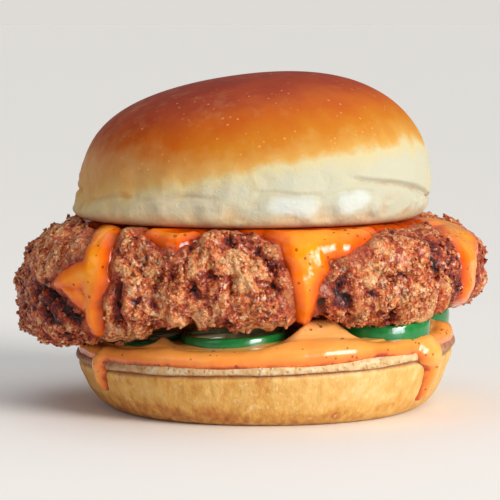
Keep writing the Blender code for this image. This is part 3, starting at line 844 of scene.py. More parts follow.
@dataclass(frozen=True)
class Heel:
    """The bottom bun: cut face, lip, a band of pale crumb, then the side down to a rounded foot."""

    radius: float = 54.4
    base_radius: float = 43.0
    roundness: float = 0.985
    side_power: float = 0.42
    rim_height: float = 18.9
    rim_rise: float = 0.038
    rim_rounding: float = 1.2
    band_height: float = 3.8
    band_bulge: float = 0.6
    groove_depth: float = 0.8
    lip_width: float = 5.0
    band_inset: float = 1.0
    dish: float = 1.1
    pole_radius: float = 2.0
    shares: tuple[float, float, float] = (0.35, 0.47, 0.65)
    rows: int = 96
    columns: int = 480

    def profile(self, t: np.ndarray) -> tuple[np.ndarray, np.ndarray]:
        """Straight cut face and lip, a bulging band, then height left to a power for the side.

        Args:
            t: 0 at the middle of the cut face to 1 at the foot.

        Returns:
            Radius and height.
        """
        face_end, lip_end, band_end = self.shares
        side_height = self.rim_height - self.band_height
        face_radius = self.radius - self.lip_width
        lip, band = ramp(face_end, lip_end, t), ramp(lip_end, band_end, t)
        left = 1.0 - ramp(band_end, 1.0, t)
        swell = np.sin(math.pi * band) ** 0.6
        band_radius = self.radius - self.band_inset + self.rim_rounding * (band - 1.0 + swell)
        band_radius += self.band_bulge * swell + 0.2 * band
        groove = self.groove_depth * np.exp(-((side_height * (1.0 - left) / 0.9) ** 2))
        side_radius = self.base_radius + (self.radius - self.base_radius) * left**self.side_power - groove
        lip_radius = face_radius + (self.lip_width - self.rim_rounding - self.band_inset) * lip
        flat_radius = self.pole_radius + (face_radius - self.pole_radius) * t / face_end
        parts = [t > band_end, t > lip_end, t > face_end]
        radius = np.select(parts, [side_radius, band_radius, lip_radius], flat_radius)
        heights = [side_height * left, self.rim_height - self.band_height * band]
        face_height = self.rim_height - self.dish * (1.0 - smoothstep(0.0, 1.0, lip))
        return radius, np.select(parts[:2], heights, face_height)

    def tilt(self, height: np.ndarray | float, x: np.ndarray) -> np.ndarray:
        """Squashes the bun unevenly, so that heights on it grow towards +X.

        Args:
            height: Heights on an even bun.
            x: Where.

        Returns:
            The real heights.
        """
        return height * (1.0 + self.rim_rise * x / self.rim_height)

    def surface(self, t: np.ndarray, columns: int) -> np.ndarray:
        """Turns the profile round, slightly out of round, with broad wrinkles along the normals.

        Args:
            t: The profile's parameters, one a row.
            columns: Points round each row.

        Returns:
            The grid's points.
        """
        radius, height = self.profile(t)
        theta = turns(columns)
        uneven = 1.0 + 0.008 * np.sin(2.0 * theta + 0.6) + 0.006 * np.sin(5.0 * theta)
        x = radius[:, None] * np.cos(theta) * uneven
        y = radius[:, None] * np.sin(theta) * uneven * self.roundness
        z = self.tilt(np.broadcast_to(height[:, None], x.shape), x)
        points = np.stack([x, y, z], axis=-1)
        free = smoothstep(1.0, 5.0, z) * smoothstep(self.base_radius, self.radius, np.hypot(x, y))
        wrinkles = 0.3 * lumps(points * np.array([1.0, 1.0, 0.6]), 9.0, seed=11)
        return points + grid_normals(points) * (wrinkles * free)[..., None]

    def build(self) -> None:
        """Adds creases and blisters to the side, pits to the crumb, and paints what is baked how far, with painted
        shade towards -X, in fold valleys and along the crumb band's edges.
        """
        face_end, lip_end, band_end = self.shares
        t = spaced_rows(self.profile, ((1.0, self.rows),), first=face_end)
        points = self.surface(t, self.columns)
        share = np.broadcast_to(t[:, None], points.shape[:2])
        side = smoothstep(band_end, band_end + 0.03, share) * smoothstep(0.0, 4.0, points[..., 2])
        border = share + 0.01 * lumps(points, 3.0, seed=15)
        crumb = 1.0 - smoothstep(band_end - 0.012, band_end + 0.012, border)
        folds = 1.0 - np.abs(lumps(warp(points, 9.0, 2.0, 16) * np.array([1.0, 1.0, 0.45]), 5.0, seed=12))
        fine = lumps(points * np.array([1.0, 1.0, 0.6]), 2.2, seed=13)
        pits = nuggets(points, 2.6, seed=14)[0] - 0.75
        relief = side * (0.2 * (folds - 0.75) + 0.2 * fine) + 0.22 * pits * crumb
        points = points + grid_normals(points) * relief[..., None]
        points[..., 2] = np.maximum(points[..., 2], 0.0)
        foot = 1.0 - smoothstep(1.0, 9.0, points[..., 2])
        # The crust is painted browner towards -X and in the valleys between folds: painted shade on the side away
        # from the light and in the creases.
        left_shade = ramp(30.0, -45.0, points[..., 0])
        baked = 0.20 + 0.28 * foot + 0.26 * left_shade - 0.25 * (folds - 0.85) * side
        # Darker lines along both edges of the crumb band: toasted crust in part, and a painted shadow under the
        # sauce's lip and in the groove below the band.
        edge = np.exp(-(((share - band_end) / 0.018) ** 2))
        edge += 0.9 * (1.0 - smoothstep(lip_end, lip_end + 0.07, share))
        # The crumb is darker brown towards both ends, more at +X.
        ends = smoothstep(0.72, 0.9, np.abs(points[..., 0]) / self.radius) * crumb
        ends *= 0.3 + 0.5 * smoothstep(-20.0, 20.0, points[..., 0])
        # The crumb is also painted darker towards -X: painted shade on the side away from the light.
        browned = np.maximum(0.9 * edge, ends) + 0.5 * left_shade * crumb
        marks = {"baked": baked, "crumb": crumb, "toast": browned}
        finish = GoldenCrust("Golden bun crust", roughness=0.55, subsurface=0.12, reach=(2.0, 1.0, 0.4))
        publish(Wrap(points, marks).closed_mesh("bottom_bun_baked"), finish, ["bottom_bun"])


class Fold(NamedTuple):
    """A soft swelling on the bun's side; the angle is in degrees from the front towards +X."""

    angle: float
    height: float
    half_width: float
    half_height: float
    rise: float


class Crease(NamedTuple):
    """A torn fold on the bun's side: both ends as (angle, height), how far it bows up, and its relief.

    The groove is so deep, and the dough above it stands out by the overhang.
    """

    start: tuple[float, float]
    end: tuple[float, float]
    bow: float
    depth: float
    overhang: float


@dataclass(frozen=True)
class Crown:
    """The top bun: a leaning dome with a browned top, cream torn sides and a tucked lower edge."""

    base: float = 54.8
    height: float = 41.3
    centre_x: float = -4.3
    half_length: float = 50.9
    half_depth: float = 49.6
    lean: float = 3.4
    peak_shift: float = 8.0
    powers: tuple[float, float] = (3.3, 1.9)
    tuck: float = 2.8
    lip: float = 1.5
    folds: float = 0.8
    border_height: float = 19.8
    border_slopes: tuple[float, float] = (0.22, 0.08)
    browning: tuple[float, float] = (4.0, 27.0)
    first: float = 0.004
    rows: int = 170
    columns: int = 460
    swellings: tuple[Fold, ...] = (
        Fold(13.0, 6.4, 9.6, 4.0, 1.1),
        Fold(34.0, 6.6, 7.4, 3.8, 1.2),
        Fold(-8.0, 5.2, 5.0, 2.6, 0.7),
        Fold(-34.0, 4.6, 6.0, 2.6, 0.7),
        Fold(-58.0, 4.4, 4.0, 2.4, 0.6),
        Fold(73.0, 5.4, 2.6, 2.4, 1.0),
        Fold(118.0, 6.0, 8.0, 3.0, 0.8),
        Fold(160.0, 6.6, 6.0, 3.0, 0.9),
        Fold(205.0, 5.8, 9.0, 2.8, 0.9),
        Fold(262.0, 6.4, 7.0, 3.0, 0.9),
    )
    creases: tuple[Crease, ...] = (
        Crease((0.0, 9.2), (24.0, 9.0), 0.9, 0.8, 0.35),
        Crease((25.0, 9.0), (43.0, 8.6), 1.0, 0.8, 0.3),
        Crease((30.0, 13.2), (86.0, 5.8), 0.4, 0.9, 1.3),
        Crease((-32.0, 6.8), (-10.0, 8.6), 0.6, 0.5, 0.3),
        Crease((-66.0, 6.2), (-40.0, 7.0), 0.5, 0.5, 0.3),
        Crease((-118.0, 8.2), (-72.0, 7.6), 0.3, 0.8, 0.3),
        Crease((82.0, 8.0), (112.0, 10.6), 0.6, 0.8, 0.9),
        Crease((120.0, 9.6), (168.0, 8.6), 0.8, 0.7, 0.6),
        Crease((-172.0, 9.8), (-128.0, 8.4), 0.7, 0.8, 0.8),
    )

    def profile(self, t: np.ndarray) -> tuple[np.ndarray, np.ndarray]:
        """A dome whose radius is a power of one less the height's power, pulled in at its lower edge.

        Args:
            t: 0 at the peak to 1 at the lower edge.

        Returns:
            Radius and height above the base.
        """
        rise = np.cos(0.5 * math.pi * t)
        radius = self.half_length * (1.0 - rise ** self.powers[0]) ** (1.0 / self.powers[1])
        height = self.height * rise
        return radius - self.tuck * np.exp(-height / 1.6), height

    def surface(self, t: np.ndarray, columns: int) -> np.ndarray:
        """Turns the profile round and shifts each height sideways, so that the dome leans.

        Args:
            t: The profile's parameters, one a row.
            columns: Points round each row.

        Returns:
            The grid's points.
        """
        radius, height = (column[:, None] for column in self.profile(t))
        theta = turns(columns)
        share = height / self.height
        lip = self.lip * np.exp(-(((height - 2.0) / 2.2) ** 2)) + 0.6 * self.tuck * np.exp(-height / 1.6)
        uneven = 1.0 + 0.006 * np.sin(3.0 * theta + 1.0) + 0.004 * np.sin(5.0 * theta)
        reach = (radius + lip * smoothstep(0.3, 0.9, -np.cos(theta))) * uneven
        x = self.centre_x + self.lean * share + self.peak_shift * share**7 + reach * np.cos(theta)
        y = reach * np.sin(theta) * self.half_depth / self.half_length
        points = np.stack([x, y, self.base + np.broadcast_to(height, x.shape)], axis=-1)
        torn_side = smoothstep(1.0, 5.0, height) * (1.0 - smoothstep(12.0, 20.0, height))
        folds = self.folds * lumps(points * np.array([1.0, 1.0, 0.6]), 8.0, seed=61)
        return points + grid_normals(points) * (folds * torn_side)[..., None]

    def torn(self, angle: np.ndarray, height: np.ndarray) -> np.ndarray:
        """Each crease is a line bowed by a sine, a groove like a bell curve, and a step out above it.

        Args:
            angle: Degrees from the front towards +X.
            height: Above the base.

        Returns:
            The relief.
        """
        relief = np.zeros_like(height)
        for crease in self.creases:
            share = ramp(crease.start[0], crease.end[0], angle)
            bow = crease.bow * np.sin(math.pi * share)
            line = crease.start[1] + (crease.end[1] - crease.start[1]) * share + bow
            there = smoothstep(0.0, 0.15, share) * (1.0 - smoothstep(0.85, 1.0, share))
            above = height - line
            groove = crease.depth * np.exp(-((above / 0.75) ** 2))
            over = crease.overhang * smoothstep(0.0, 1.4, above) * np.exp(-np.clip(above, 0.0, None) / 4.5)
            relief += there * (over - groove)
        return relief

    def build(self) -> None:
        """Adds swellings, creases and a fine skin, and paints how far each place is baked, with painted shade
        towards -X and in hollows and a painted highlight on the front swellings.
        """
        t = spaced_rows(self.profile, ((1.0, self.rows),), first=self.first)
        points = self.surface(t, self.columns)
        height = points[..., 2] - self.base
        x, y = points[..., 0] - self.centre_x, points[..., 1]
        angle = np.arctan2(x, -y)
        side = smoothstep(0.6, 3.0, height) * (1.0 - smoothstep(13.0, 18.0, height))
        relief = np.zeros_like(height)
        bent = angle + 0.04 * lumps(points, 6.0, seed=77)
        lifted = height + 1.1 * lumps(points, 5.0, seed=78)
        for fold in self.swellings:
            turned = np.angle(np.exp(1j * (bent - math.radians(fold.angle))))
            across = turned * self.half_length / fold.half_width
            upward = (lifted - fold.height) / fold.half_height
            relief += fold.rise * np.exp(-(np.abs(across) ** 2.6) - np.abs(upward) ** 2.6)
        # The front swellings are painted whiter: pale torn crumb, and in part a painted highlight where the bulges
        # face the light.
        pale = smoothstep(0.45, 1.2, relief) * smoothstep(-30.0, -20.0, -np.abs(np.degrees(angle) - 23.0))
        wandering = height + 1.2 * lumps(points * np.array([1.0, 1.0, 0.3]), 8.0, seed=62)
        torn = self.torn(np.degrees(angle), wandering)
        wrinkle = 1.0 - np.abs(lumps(warp(points, 8.0, 2.5, 64) * np.array([1.0, 1.0, 1.8]), 7.0, seed=67))
        pleats = lumps(warp(points, 5.0, 1.5, 72) * np.array([1.0, 1.0, 0.3]), 3.4, seed=75)
        relief += torn + side * (0.45 * (wrinkle - 0.8) + 0.16 * lumps(points, 2.4, seed=68))
        low = side * (1.0 - smoothstep(4.0, 10.0, height))
        relief += 0.7 * pleats * low
        relief += 0.10 * lumps(points, 16.0, seed=69) * smoothstep(16.0, 24.0, height)
        points = points + grid_normals(points) * relief[..., None]
        points[..., 2] = np.maximum(points[..., 2], self.base)
        border = self.border_height + np.where(x < 0.0, *self.border_slopes) * x
        border += 1.6 * lumps(points, 24.0, seed=70) + 1.0 * lumps(points, 7.0, seed=71)
        border += 1.2 * lumps(points * np.array([1.0, 1.0, 0.2]), 3.2, seed=76)
        rise = height - border
        soft = 4.2 + 2.4 * ramp(10.0, -40.0, x)
        # Browner towards -X: in part painted shade on the side away from the light.
        first = 0.30 + 0.14 * ramp(5.0, -40.0, x)
        baked = first * smoothstep(-2.0, 1.0, rise / soft) + (1.0 - first) * ramp(*self.browning, rise) ** 1.1
        # Tan is painted over the cream towards -X and in the pleats' valleys, painted shade on the side away from
        # the light and in creases, and along the toasted foot; less on the whiter swellings.
        tan = ramp(20.0, -60.0, x) * (1.0 - 0.8 * smoothstep(14.0, 24.0, height))
        tan += 0.5 * (1.0 - smoothstep(1.5, 5.0, height))
        tan += 0.5 * low * np.clip(-pleats, 0.0, 1.0) - 0.3 * pale
        # Toasted near the base, and painted darker in the side's hollows as shade.
        toast = np.exp(-height / 1.7) + 0.6 * np.clip(-relief, 0.0, 1.0) * side
        soaked = 0.6 * np.exp(-((height / 0.6) ** 2))
        marks = {"baked": baked, "tan": tan, "pale": pale, "toast": toast, "soaked": soaked}
        finish = GlazedCrust("Glazed bun crust", ior=1.22, subsurface=0.12, reach=(2.4, 1.2, 0.5))
        publish(Wrap(points, marks).closed_mesh("top_bun_baked"), finish, ["top_bun"])


@dataclass(frozen=True)
class Fillet:
    """The fried fillet: a squarish slab, thicker at its left end, under a crust of nuggets."""

    centre_x: float = -4.9
    half_length: float = 65.2
    half_front: float = 52.8
    half_back: float = 50.8
    outline_power: float = 2.25
    shoulder_powers: tuple[float, float, float] = (3.2, 7.0, 3.0)
    lower_powers: tuple[float, float, float] = (5.5, 3.2, 4.5)
    top: float = 53.0
    crag_rise: float = 1.4
    underside_height: float = 26.5
    slopes: tuple[float, float] = (0.03, 0.08)
    droops: tuple[float, float] = (0.0019, 0.0007)
    sags: tuple[float, float] = (1.1, 2.2)
    front_lift: float = 2.6
    crown_press: tuple[float, float] = (45.0, 50.0)
    heel_press: tuple[float, float] = (42.0, 49.0)
    row_range: tuple[float, float] = (0.0005, 0.9995)
    stretches: tuple[tuple[float, int], ...] = ((0.28, 12), (0.74, 108), (1.0, 12))
    columns: int = 720
    stretch_steps: int = 3

    def underside(self, x: np.ndarray | float) -> np.ndarray:
        """A line that climbs to the right, less a drooping parabola.

        Args:
            x: Where.

        Returns:
            The underside's height.
        """
        slope = np.where(x < 0.0, *self.slopes)
        droop = np.where(x < 0.0, *self.droops)
        return self.underside_height + slope * x - droop * x * x

    def middle(self, x: np.ndarray | float) -> np.ndarray:
        """Half way up the fillet.

        Args:
            x: Where.

        Returns:
            The height.
        """
        return (self.top + self.underside(x)) / 2.0

    def free(self, points: np.ndarray, from_crown: np.ndarray) -> np.ndarray:
        """Smooth steps in the distance from the top bun's middle, one for each bun that presses the fillet.

        Args:
            points: Places on the slab.
            from_crown: Their distances from that middle.

        Returns:
            0 where a bun presses the fillet flat, 1 where the crust is free.
        """
        above = points[..., 2] > self.middle(points[..., 0])
        presses = (self.crown_press, self.heel_press)
        return np.where(above, *(smoothstep(*press, from_crown) for press in presses))

    def edge_power(self, upper: np.ndarray | bool, theta: np.ndarray | float) -> np.ndarray:
        """The superellipse's power, changing from the long sides to the two ends.

        Args:
            upper: True above the fillet's middle.
            theta: The angle round it.

        Returns:
            The power; more is squarer.
        """
        end = smoothstep(0.4, 0.95, np.abs(np.cos(theta)))
        powers = []
        for left, side, right in (self.shoulder_powers, self.lower_powers):
            powers.append(side + (np.where(np.cos(theta) < 0.0, left, right) - side) * end)
        return np.where(upper, *powers)

    def section(self, share: np.ndarray) -> tuple[np.ndarray, np.ndarray]:
        """A superellipse: powers of the sine and cosine of an angle.

        Args:
            share: 0 at the top's middle to 1 at the underside's.

        Returns:
            Radius and height of the front edge.
        """
        phi = math.pi * share
        power = 2.0 / self.edge_power(np.cos(phi) > 0.0, -math.pi / 2.0)
        half_height = (self.top - self.underside_height) / 2.0
        return self.half_front * np.sin(phi) ** power, half_height * signed_power(np.cos(phi), power)

    def slab(self) -> np.ndarray:
        """A superellipse in plan swept by the section, its front left edge lifted, before the crust.

        Returns:
            The grid's points.
        """
        phi = math.pi * spaced_rows(self.section, self.stretches, *self.row_range)[:, None]
        theta = turns(self.columns)[None, :]
        depth = np.where(np.sin(theta) > 0.0, self.half_back, self.half_front)
        power = self.outline_power
        reach = (np.abs(np.cos(theta)) / self.half_length) ** power + (np.abs(np.sin(theta)) / depth) ** power
        uneven = 1.0 + 0.012 * np.sin(3.0 * theta + 0.4) + 0.012 * np.sin(7.0 * theta)
        edge = 2.0 / self.edge_power(np.cos(phi) > 0.0, theta)
        radius = reach ** (-1.0 / power) * uneven * np.sin(phi) ** edge
        x, y = self.centre_x + radius * np.cos(theta), radius * np.sin(theta)
        upward = signed_power(np.cos(phi), edge)
        z = self.middle(x) + (self.top - self.middle(x)) * upward
        lift = self.front_lift * ramp(-14.0, -30.0, x) * smoothstep(10.0, 40.0, -y)
        return np.stack([x, y, z + lift * np.clip(-upward, 0.0, 1.0) ** 1.5], axis=-1)

    def outline_y(self, x: float, z: float, depth: float) -> float:
        """Solves the section and the plan in turn for the y of the smooth slab.

        Args:
            x: Where along it.
            z: How high.
            depth: The half depth of the wanted side, with its sign.

        Returns:
            The y.
        """
        along = abs(x - self.centre_x) / self.half_length
        height = (z - self.middle(x)) / (self.top - self.middle(x))
        y = depth / 2.0
        for _ in range(4):
            power = self.edge_power(height > 0.0, math.atan2(y, x - self.centre_x))
            reach = (1.0 - abs(height) ** power) ** (1.0 / power)
            room = 1.0 - min(along / reach, 1.0) ** self.outline_power
            y = depth * reach * room ** (1.0 / self.outline_power)
        return float(y)

    def lay(self, route: Sequence[tuple[float, float, float]], depth: float) -> list[tuple[float, ...]]:
        """Lays a line on the smooth slab in short stretches.

        Args:
            route: Points (x, z, half width).
            depth: The half depth of the wanted side, with its sign.

        Returns:
            Points (x, y, z, half width).
        """
        knots = range(len(route))
        steps = np.linspace(0.0, knots[-1], self.stretch_steps * knots[-1] + 1)
        columns = [np.interp(steps, knots, column) for column in zip(*route, strict=True)]
        return [(x, self.outline_y(x, z, depth), z, width) for x, z, width in zip(*columns, strict=True)]


@dataclass(frozen=True)
class Scatter:
    """Small pieces of breading fried onto the crust: lenses, thick for crumbs and thin and bent for flakes.

    Attributes:
        name: The piece's name.
        count: How many.
        sizes: Smallest and largest half length.
        thinness: Smallest and largest thickness, as a share of the length.
        bend: How far a lens curls up at its ends, as a share of its length.
        lean: How far it may lean out from lying flat, in degrees.
        patch: Distance across the patches that they gather in.
        seed: For all their random numbers.
        spokes: Points round a lens.
    """

    name: str
    count: int
    sizes: tuple[float, float]
    thinness: tuple[float, float]
    bend: float
    lean: float
    patch: float
    seed: int
    spokes: int = 6

    def lens(self) -> tuple[np.ndarray, np.ndarray]:
        """A round lens of unit radius: a pole, a ring at two thirds, the rim, and the same below.

        Returns:
            Its points and triangles.
        """
        angle = turns(self.spokes)
        circle = np.stack([np.cos(angle), np.sin(angle), np.zeros(self.spokes)], axis=-1)
        pole = UP[None]
        points = np.concatenate([pole, 0.7 * circle + 0.72 * UP, circle, 0.7 * circle - 0.72 * UP, -pole])
        here = np.arange(self.spokes)
        after = np.roll(here, -1)
        upper, rim, lower = 1, 1 + self.spokes, 1 + 2 * self.spokes
        triangles = [np.stack([np.zeros_like(here), upper + here, upper + after], axis=-1)]
        for above, below in ((upper, rim), (rim, lower)):
            triangles.append(np.stack([above + here, below + here, below + after], axis=-1))
            triangles.append(np.stack([above + here, below + after, above + after], axis=-1))
        last = np.full_like(here, len(points) - 1)
        triangles.append(np.stack([lower + after, lower + here, last], axis=-1))
        return points, np.concatenate(triangles)

    def mesh(
        self, points: np.ndarray, bare: np.ndarray, crag: np.ndarray, tone: np.ndarray
    ) -> bpy.types.Mesh:
        """Dented lenses, squashed, bent by the square of their length, leant and set half into the crust.

        Args:
            points: The crust's points.
            bare: 1 where they may lie.
            crag: How far the crust stands out there.
            tone: Its tone.

        Returns:
            All of them as one mesh.
        """
        shape, triangles = self.lens()
        rng = np.random.default_rng(self.seed)
        patches = smoothstep(-0.3, 0.5, lumps(points, self.patch, seed=self.seed))
        weight = (bare * (0.1 + crag) * (0.06 + patches)).ravel()
        chosen = rng.choice(weight.size, self.count, replace=False, p=weight / weight.sum())
        normal = grid_normals(points).reshape(-1, 3)[chosen]
        size = self.sizes[0] + (self.sizes[1] - self.sizes[0]) * rng.random(self.count) ** 2.0
        squash = np.stack([np.ones(self.count), rng.uniform(0.5, 1.0, self.count)], axis=-1)
        squash = np.concatenate([squash, rng.uniform(*self.thinness, (self.count, 1))], axis=-1)
        dents = 1.0 + 0.2 * rng.standard_normal((self.count, len(shape), 1))
        bodies = shape * dents * squash[:, None, :]
        bodies[..., 2] += self.bend * (bodies[..., 0] ** 2 - 0.3)
        aim = normal + math.tan(math.radians(self.lean)) * rng.uniform(-1.0, 1.0, (self.count, 3))
        aim /= np.linalg.norm(aim, axis=-1, keepdims=True)
        side = np.cross(aim, rng.standard_normal((self.count, 3)))
        side /= np.linalg.norm(side, axis=-1, keepdims=True)
        turn = np.stack([side, np.cross(aim, side), aim], axis=-1)
        bodies = np.einsum("nij,nvj->nvi", turn, bodies) * size[:, None, None]
        middles = points.reshape(-1, 3)[chosen] + normal * (0.2 * size)[:, None]
        outward = (bodies * normal[:, None, :]).sum(axis=-1) / size[:, None]
        own_tone = 0.5 * tone.ravel()[chosen] + 0.5 * rng.random(self.count)
        # Each crumb is painted lighter on its outward side and darker underneath: painted light and shade.
        marks = {
            "crag": np.clip(0.85 * crag.ravel()[chosen][:, None] + 0.04 + 0.22 * outward, 0.0, 1.0),
            "tone": np.broadcast_to(own_tone[:, None], outward.shape),
            "stain": np.zeros(outward.shape),
        }
        corners = triangles[None] + len(shape) * np.arange(self.count)[:, None, None]
        places = (bodies + middles[:, None, :]).reshape(-1, 3)
        return new_mesh(self.name, places, [corners.reshape(-1, 3)], marks)


@dataclass(frozen=True)
class Crust:
    """The fillet's breading: relief on the slab, with crumbs and flakes fried onto it.

    Attributes:
        fillet: The slab it covers.
        swell: Distance across a broad swell.
        clump: Across a large nugget.
        nugget: Across a middling one.
        grain: Across a small one.
        speck: Across the smallest.
        sauced_relief: Share of the relief that is left under hot sauce.
        gap_rise: How much higher the crust stands under the bun's edge where no sauce lies.
        cleft_depth: How deep the clefts between the front's larger clumps go.
        clefts: Each cleft as points (x, z, half width).
        scatters: The crumbs and the flakes.
    """

    fillet: Fillet
    swell: float = 18.0
    clump: float = 10.0
    nugget: float = 5.2
    grain: float = 2.3
    speck: float = 1.15
    sauced_relief: float = 0.35
    gap_rise: float = 1.6
    cleft_depth: float = 2.4
    clefts: tuple[tuple[tuple[float, float, float], ...], ...] = (
        ((-65.0, 37.0, 1.2), (-61.3, 36.2, 1.6), (-58.4, 35.6, 1.0)),
        ((-57.9, 34.5, 0.8), (-55.0, 31.6, 1.0), (-52.7, 28.2, 1.2)),
        ((-64.7, 33.1, 0.9), (-61.8, 30.5, 1.3), (-59.0, 27.7, 0.9)),
        ((-39.0, 38.5, 0.6), (-39.8, 34.2, 1.0), (-40.2, 27.7, 1.6)),
        ((-14.3, 45.3, 1.0), (-14.0, 41.0, 1.3)),
        ((-30.2, 31.1, 0.8), (-26.8, 33.1, 0.6)),
        ((-19.4, 31.9, 0.8), (-20.2, 29.7, 0.9)),
        ((-3.1, 42.5, 1.1), (-1.1, 39.9, 1.2), (4.0, 37.6, 0.8)),
        ((-16.5, 37.1, 0.5), (-15.7, 34.2, 0.6)),
        ((14.3, 35.7, 1.0), (14.2, 29.4, 1.3)),
        ((19.4, 39.7, 0.9), (19.7, 37.2, 1.2), (22.2, 32.2, 0.7)),
        ((33.6, 33.0, 0.9), (35.3, 29.8, 1.2)),
        ((44.2, 45.2, 0.8), (47.6, 39.2, 1.3), (47.0, 33.2, 1.1)),
    )
    scatters: tuple[Scatter, ...] = (
        Scatter("fillet_crumbs", 5200, (0.26, 0.85), (0.65, 1.0), 0.0, 60.0, 7.0, 17),
        Scatter("fillet_flakes", 320, (0.7, 1.5), (0.25, 0.5), 0.3, 30.0, 16.0, 18),
    )

    def relief(self, points: np.ndarray) -> tuple[np.ndarray, np.ndarray, np.ndarray, np.ndarray]:
        """Broad swells, clumps, nuggets and clefts, then ridges, grains and specks too fine for the solid.

        Args:
            points: Places on the slab.

        Returns:
            The broad part of the height, the whole height, how far a place stands out of the creases round it
            from 0 to 1, and each nugget's own tone.
        """
        warped = warp(points, 6.0, 2.0, 21)
        large, large_tone = nuggets(warped, self.clump, seed=31)
        small, small_tone = nuggets(warped, self.nugget, seed=41)
        broad = 1.9 * lumps(points, self.swell, seed=5) + 4.2 * (large - 0.64)
        bent = warp(points, 3.0, 1.0, 81)
        grains, grain_tone = nuggets(bent, self.grain, seed=84)
        specks, _ = nuggets(bent, self.speck, seed=94)
        ridges = 1.0 - 2.0 * np.abs(lumps(bent, 5.0, seed=98))
        fine = 1.9 * (grains - DOME) + 1.0 * (specks - DOME) + 1.1 * ridges
        own = 0.35 * large_tone + 0.35 * small_tone + 0.30 * grain_tone
        tone = np.clip(0.5 + 1.5 * (own - 0.5), 0.0, 1.0)
        # Crag goes to the colour: painted shade in the creases and clefts, painted light on the tips.
        crag = 0.5 + 0.085 * broad + 0.5 * (small - 0.62) + 0.65 * (grains - DOME) + 0.35 * (specks - DOME)
        laid = [self.fillet.lay(cleft, -self.fillet.half_front) for cleft in self.clefts]
        cleft = smoothstep(-1.3, 0.9, stream_depth(bent, laid))
        # The clefts are painted darker still, as shade.
        crag += 0.16 * ridges - 0.36 * cleft
        broad -= self.cleft_depth * cleft
        return broad, broad + 2.2 * (small - DOME) + fine, crag, tone

    def build(self, crown: Crown, sauce: HotSauce) -> None:
        """Raises the crust off the slab, pressed flat where the buns bear on it, and adds crumbs.

        Args:
            crown: The bun that presses its top.
            sauce: The sauce that fills it.
        """
        slab = self.fillet.slab()
        normal = grid_normals(slab)
        from_crown = np.hypot(slab[..., 0] - crown.centre_x, slab[..., 1])
        above = slab[..., 2] > self.fillet.middle(slab[..., 0])
        free = self.fillet.free(slab, from_crown)
        depth = sauce.depth(slab)
        sauced = smoothstep(-2.0, 1.5, depth)
        _, relief, crag, tone = self.relief(slab)
        relief = relief * free * (1.0 - (1.0 - self.sauced_relief) * sauced)
        drift = warp(slab, 4.0, 1.6, 101) - slab
        drift -= normal * (drift * normal).sum(axis=-1, keepdims=True)
        points = slab + normal * relief[..., None] + drift * (free * ramp(-1.0, 3.0, relief))[..., None]
        from_heel = np.hypot(points[..., 0], points[..., 1])
        sag = self.fillet.sags[0] * smoothstep(42.0, 49.0, from_heel)
        sag += self.fillet.sags[1] * smoothstep(52.0, 60.0, from_heel)
        gaps = sauce.gaps(slab) * above * (1.0 - sauced)
        points[..., 2] += self.gap_rise * gaps * smoothstep(43.5, 46.5, from_crown)
        ceiling = smoothstep(47.5, 50.0, from_crown + 3.5 * gaps) * (1.0 - sauced)
        ceiling = self.fillet.top + self.fillet.crag_rise * ceiling
        points[..., 2] = np.clip(points[..., 2], self.fillet.underside(points[..., 0]) - sag, ceiling)
        crag = np.clip(crag, 0.0, 1.0)
        marks = {"crag": crag, "tone": tone, "stain": smoothstep(-4.5, 0.5, depth)}
        finish = FriedBreading("Fried breading", reach=(1.2, 0.5, 0.2), coat=0.22, coat_roughness=0.2)
        mesh = Wrap(points, marks).closed_mesh("fillet_breaded")
        publish(mesh, finish, ["chicken_fillet"])
        bare = free * (depth < -0.8) * (points[..., 2] < ceiling - 0.5)
        for scatter in self.scatters:
            publish(scatter.mesh(points, bare, crag, tone), finish)


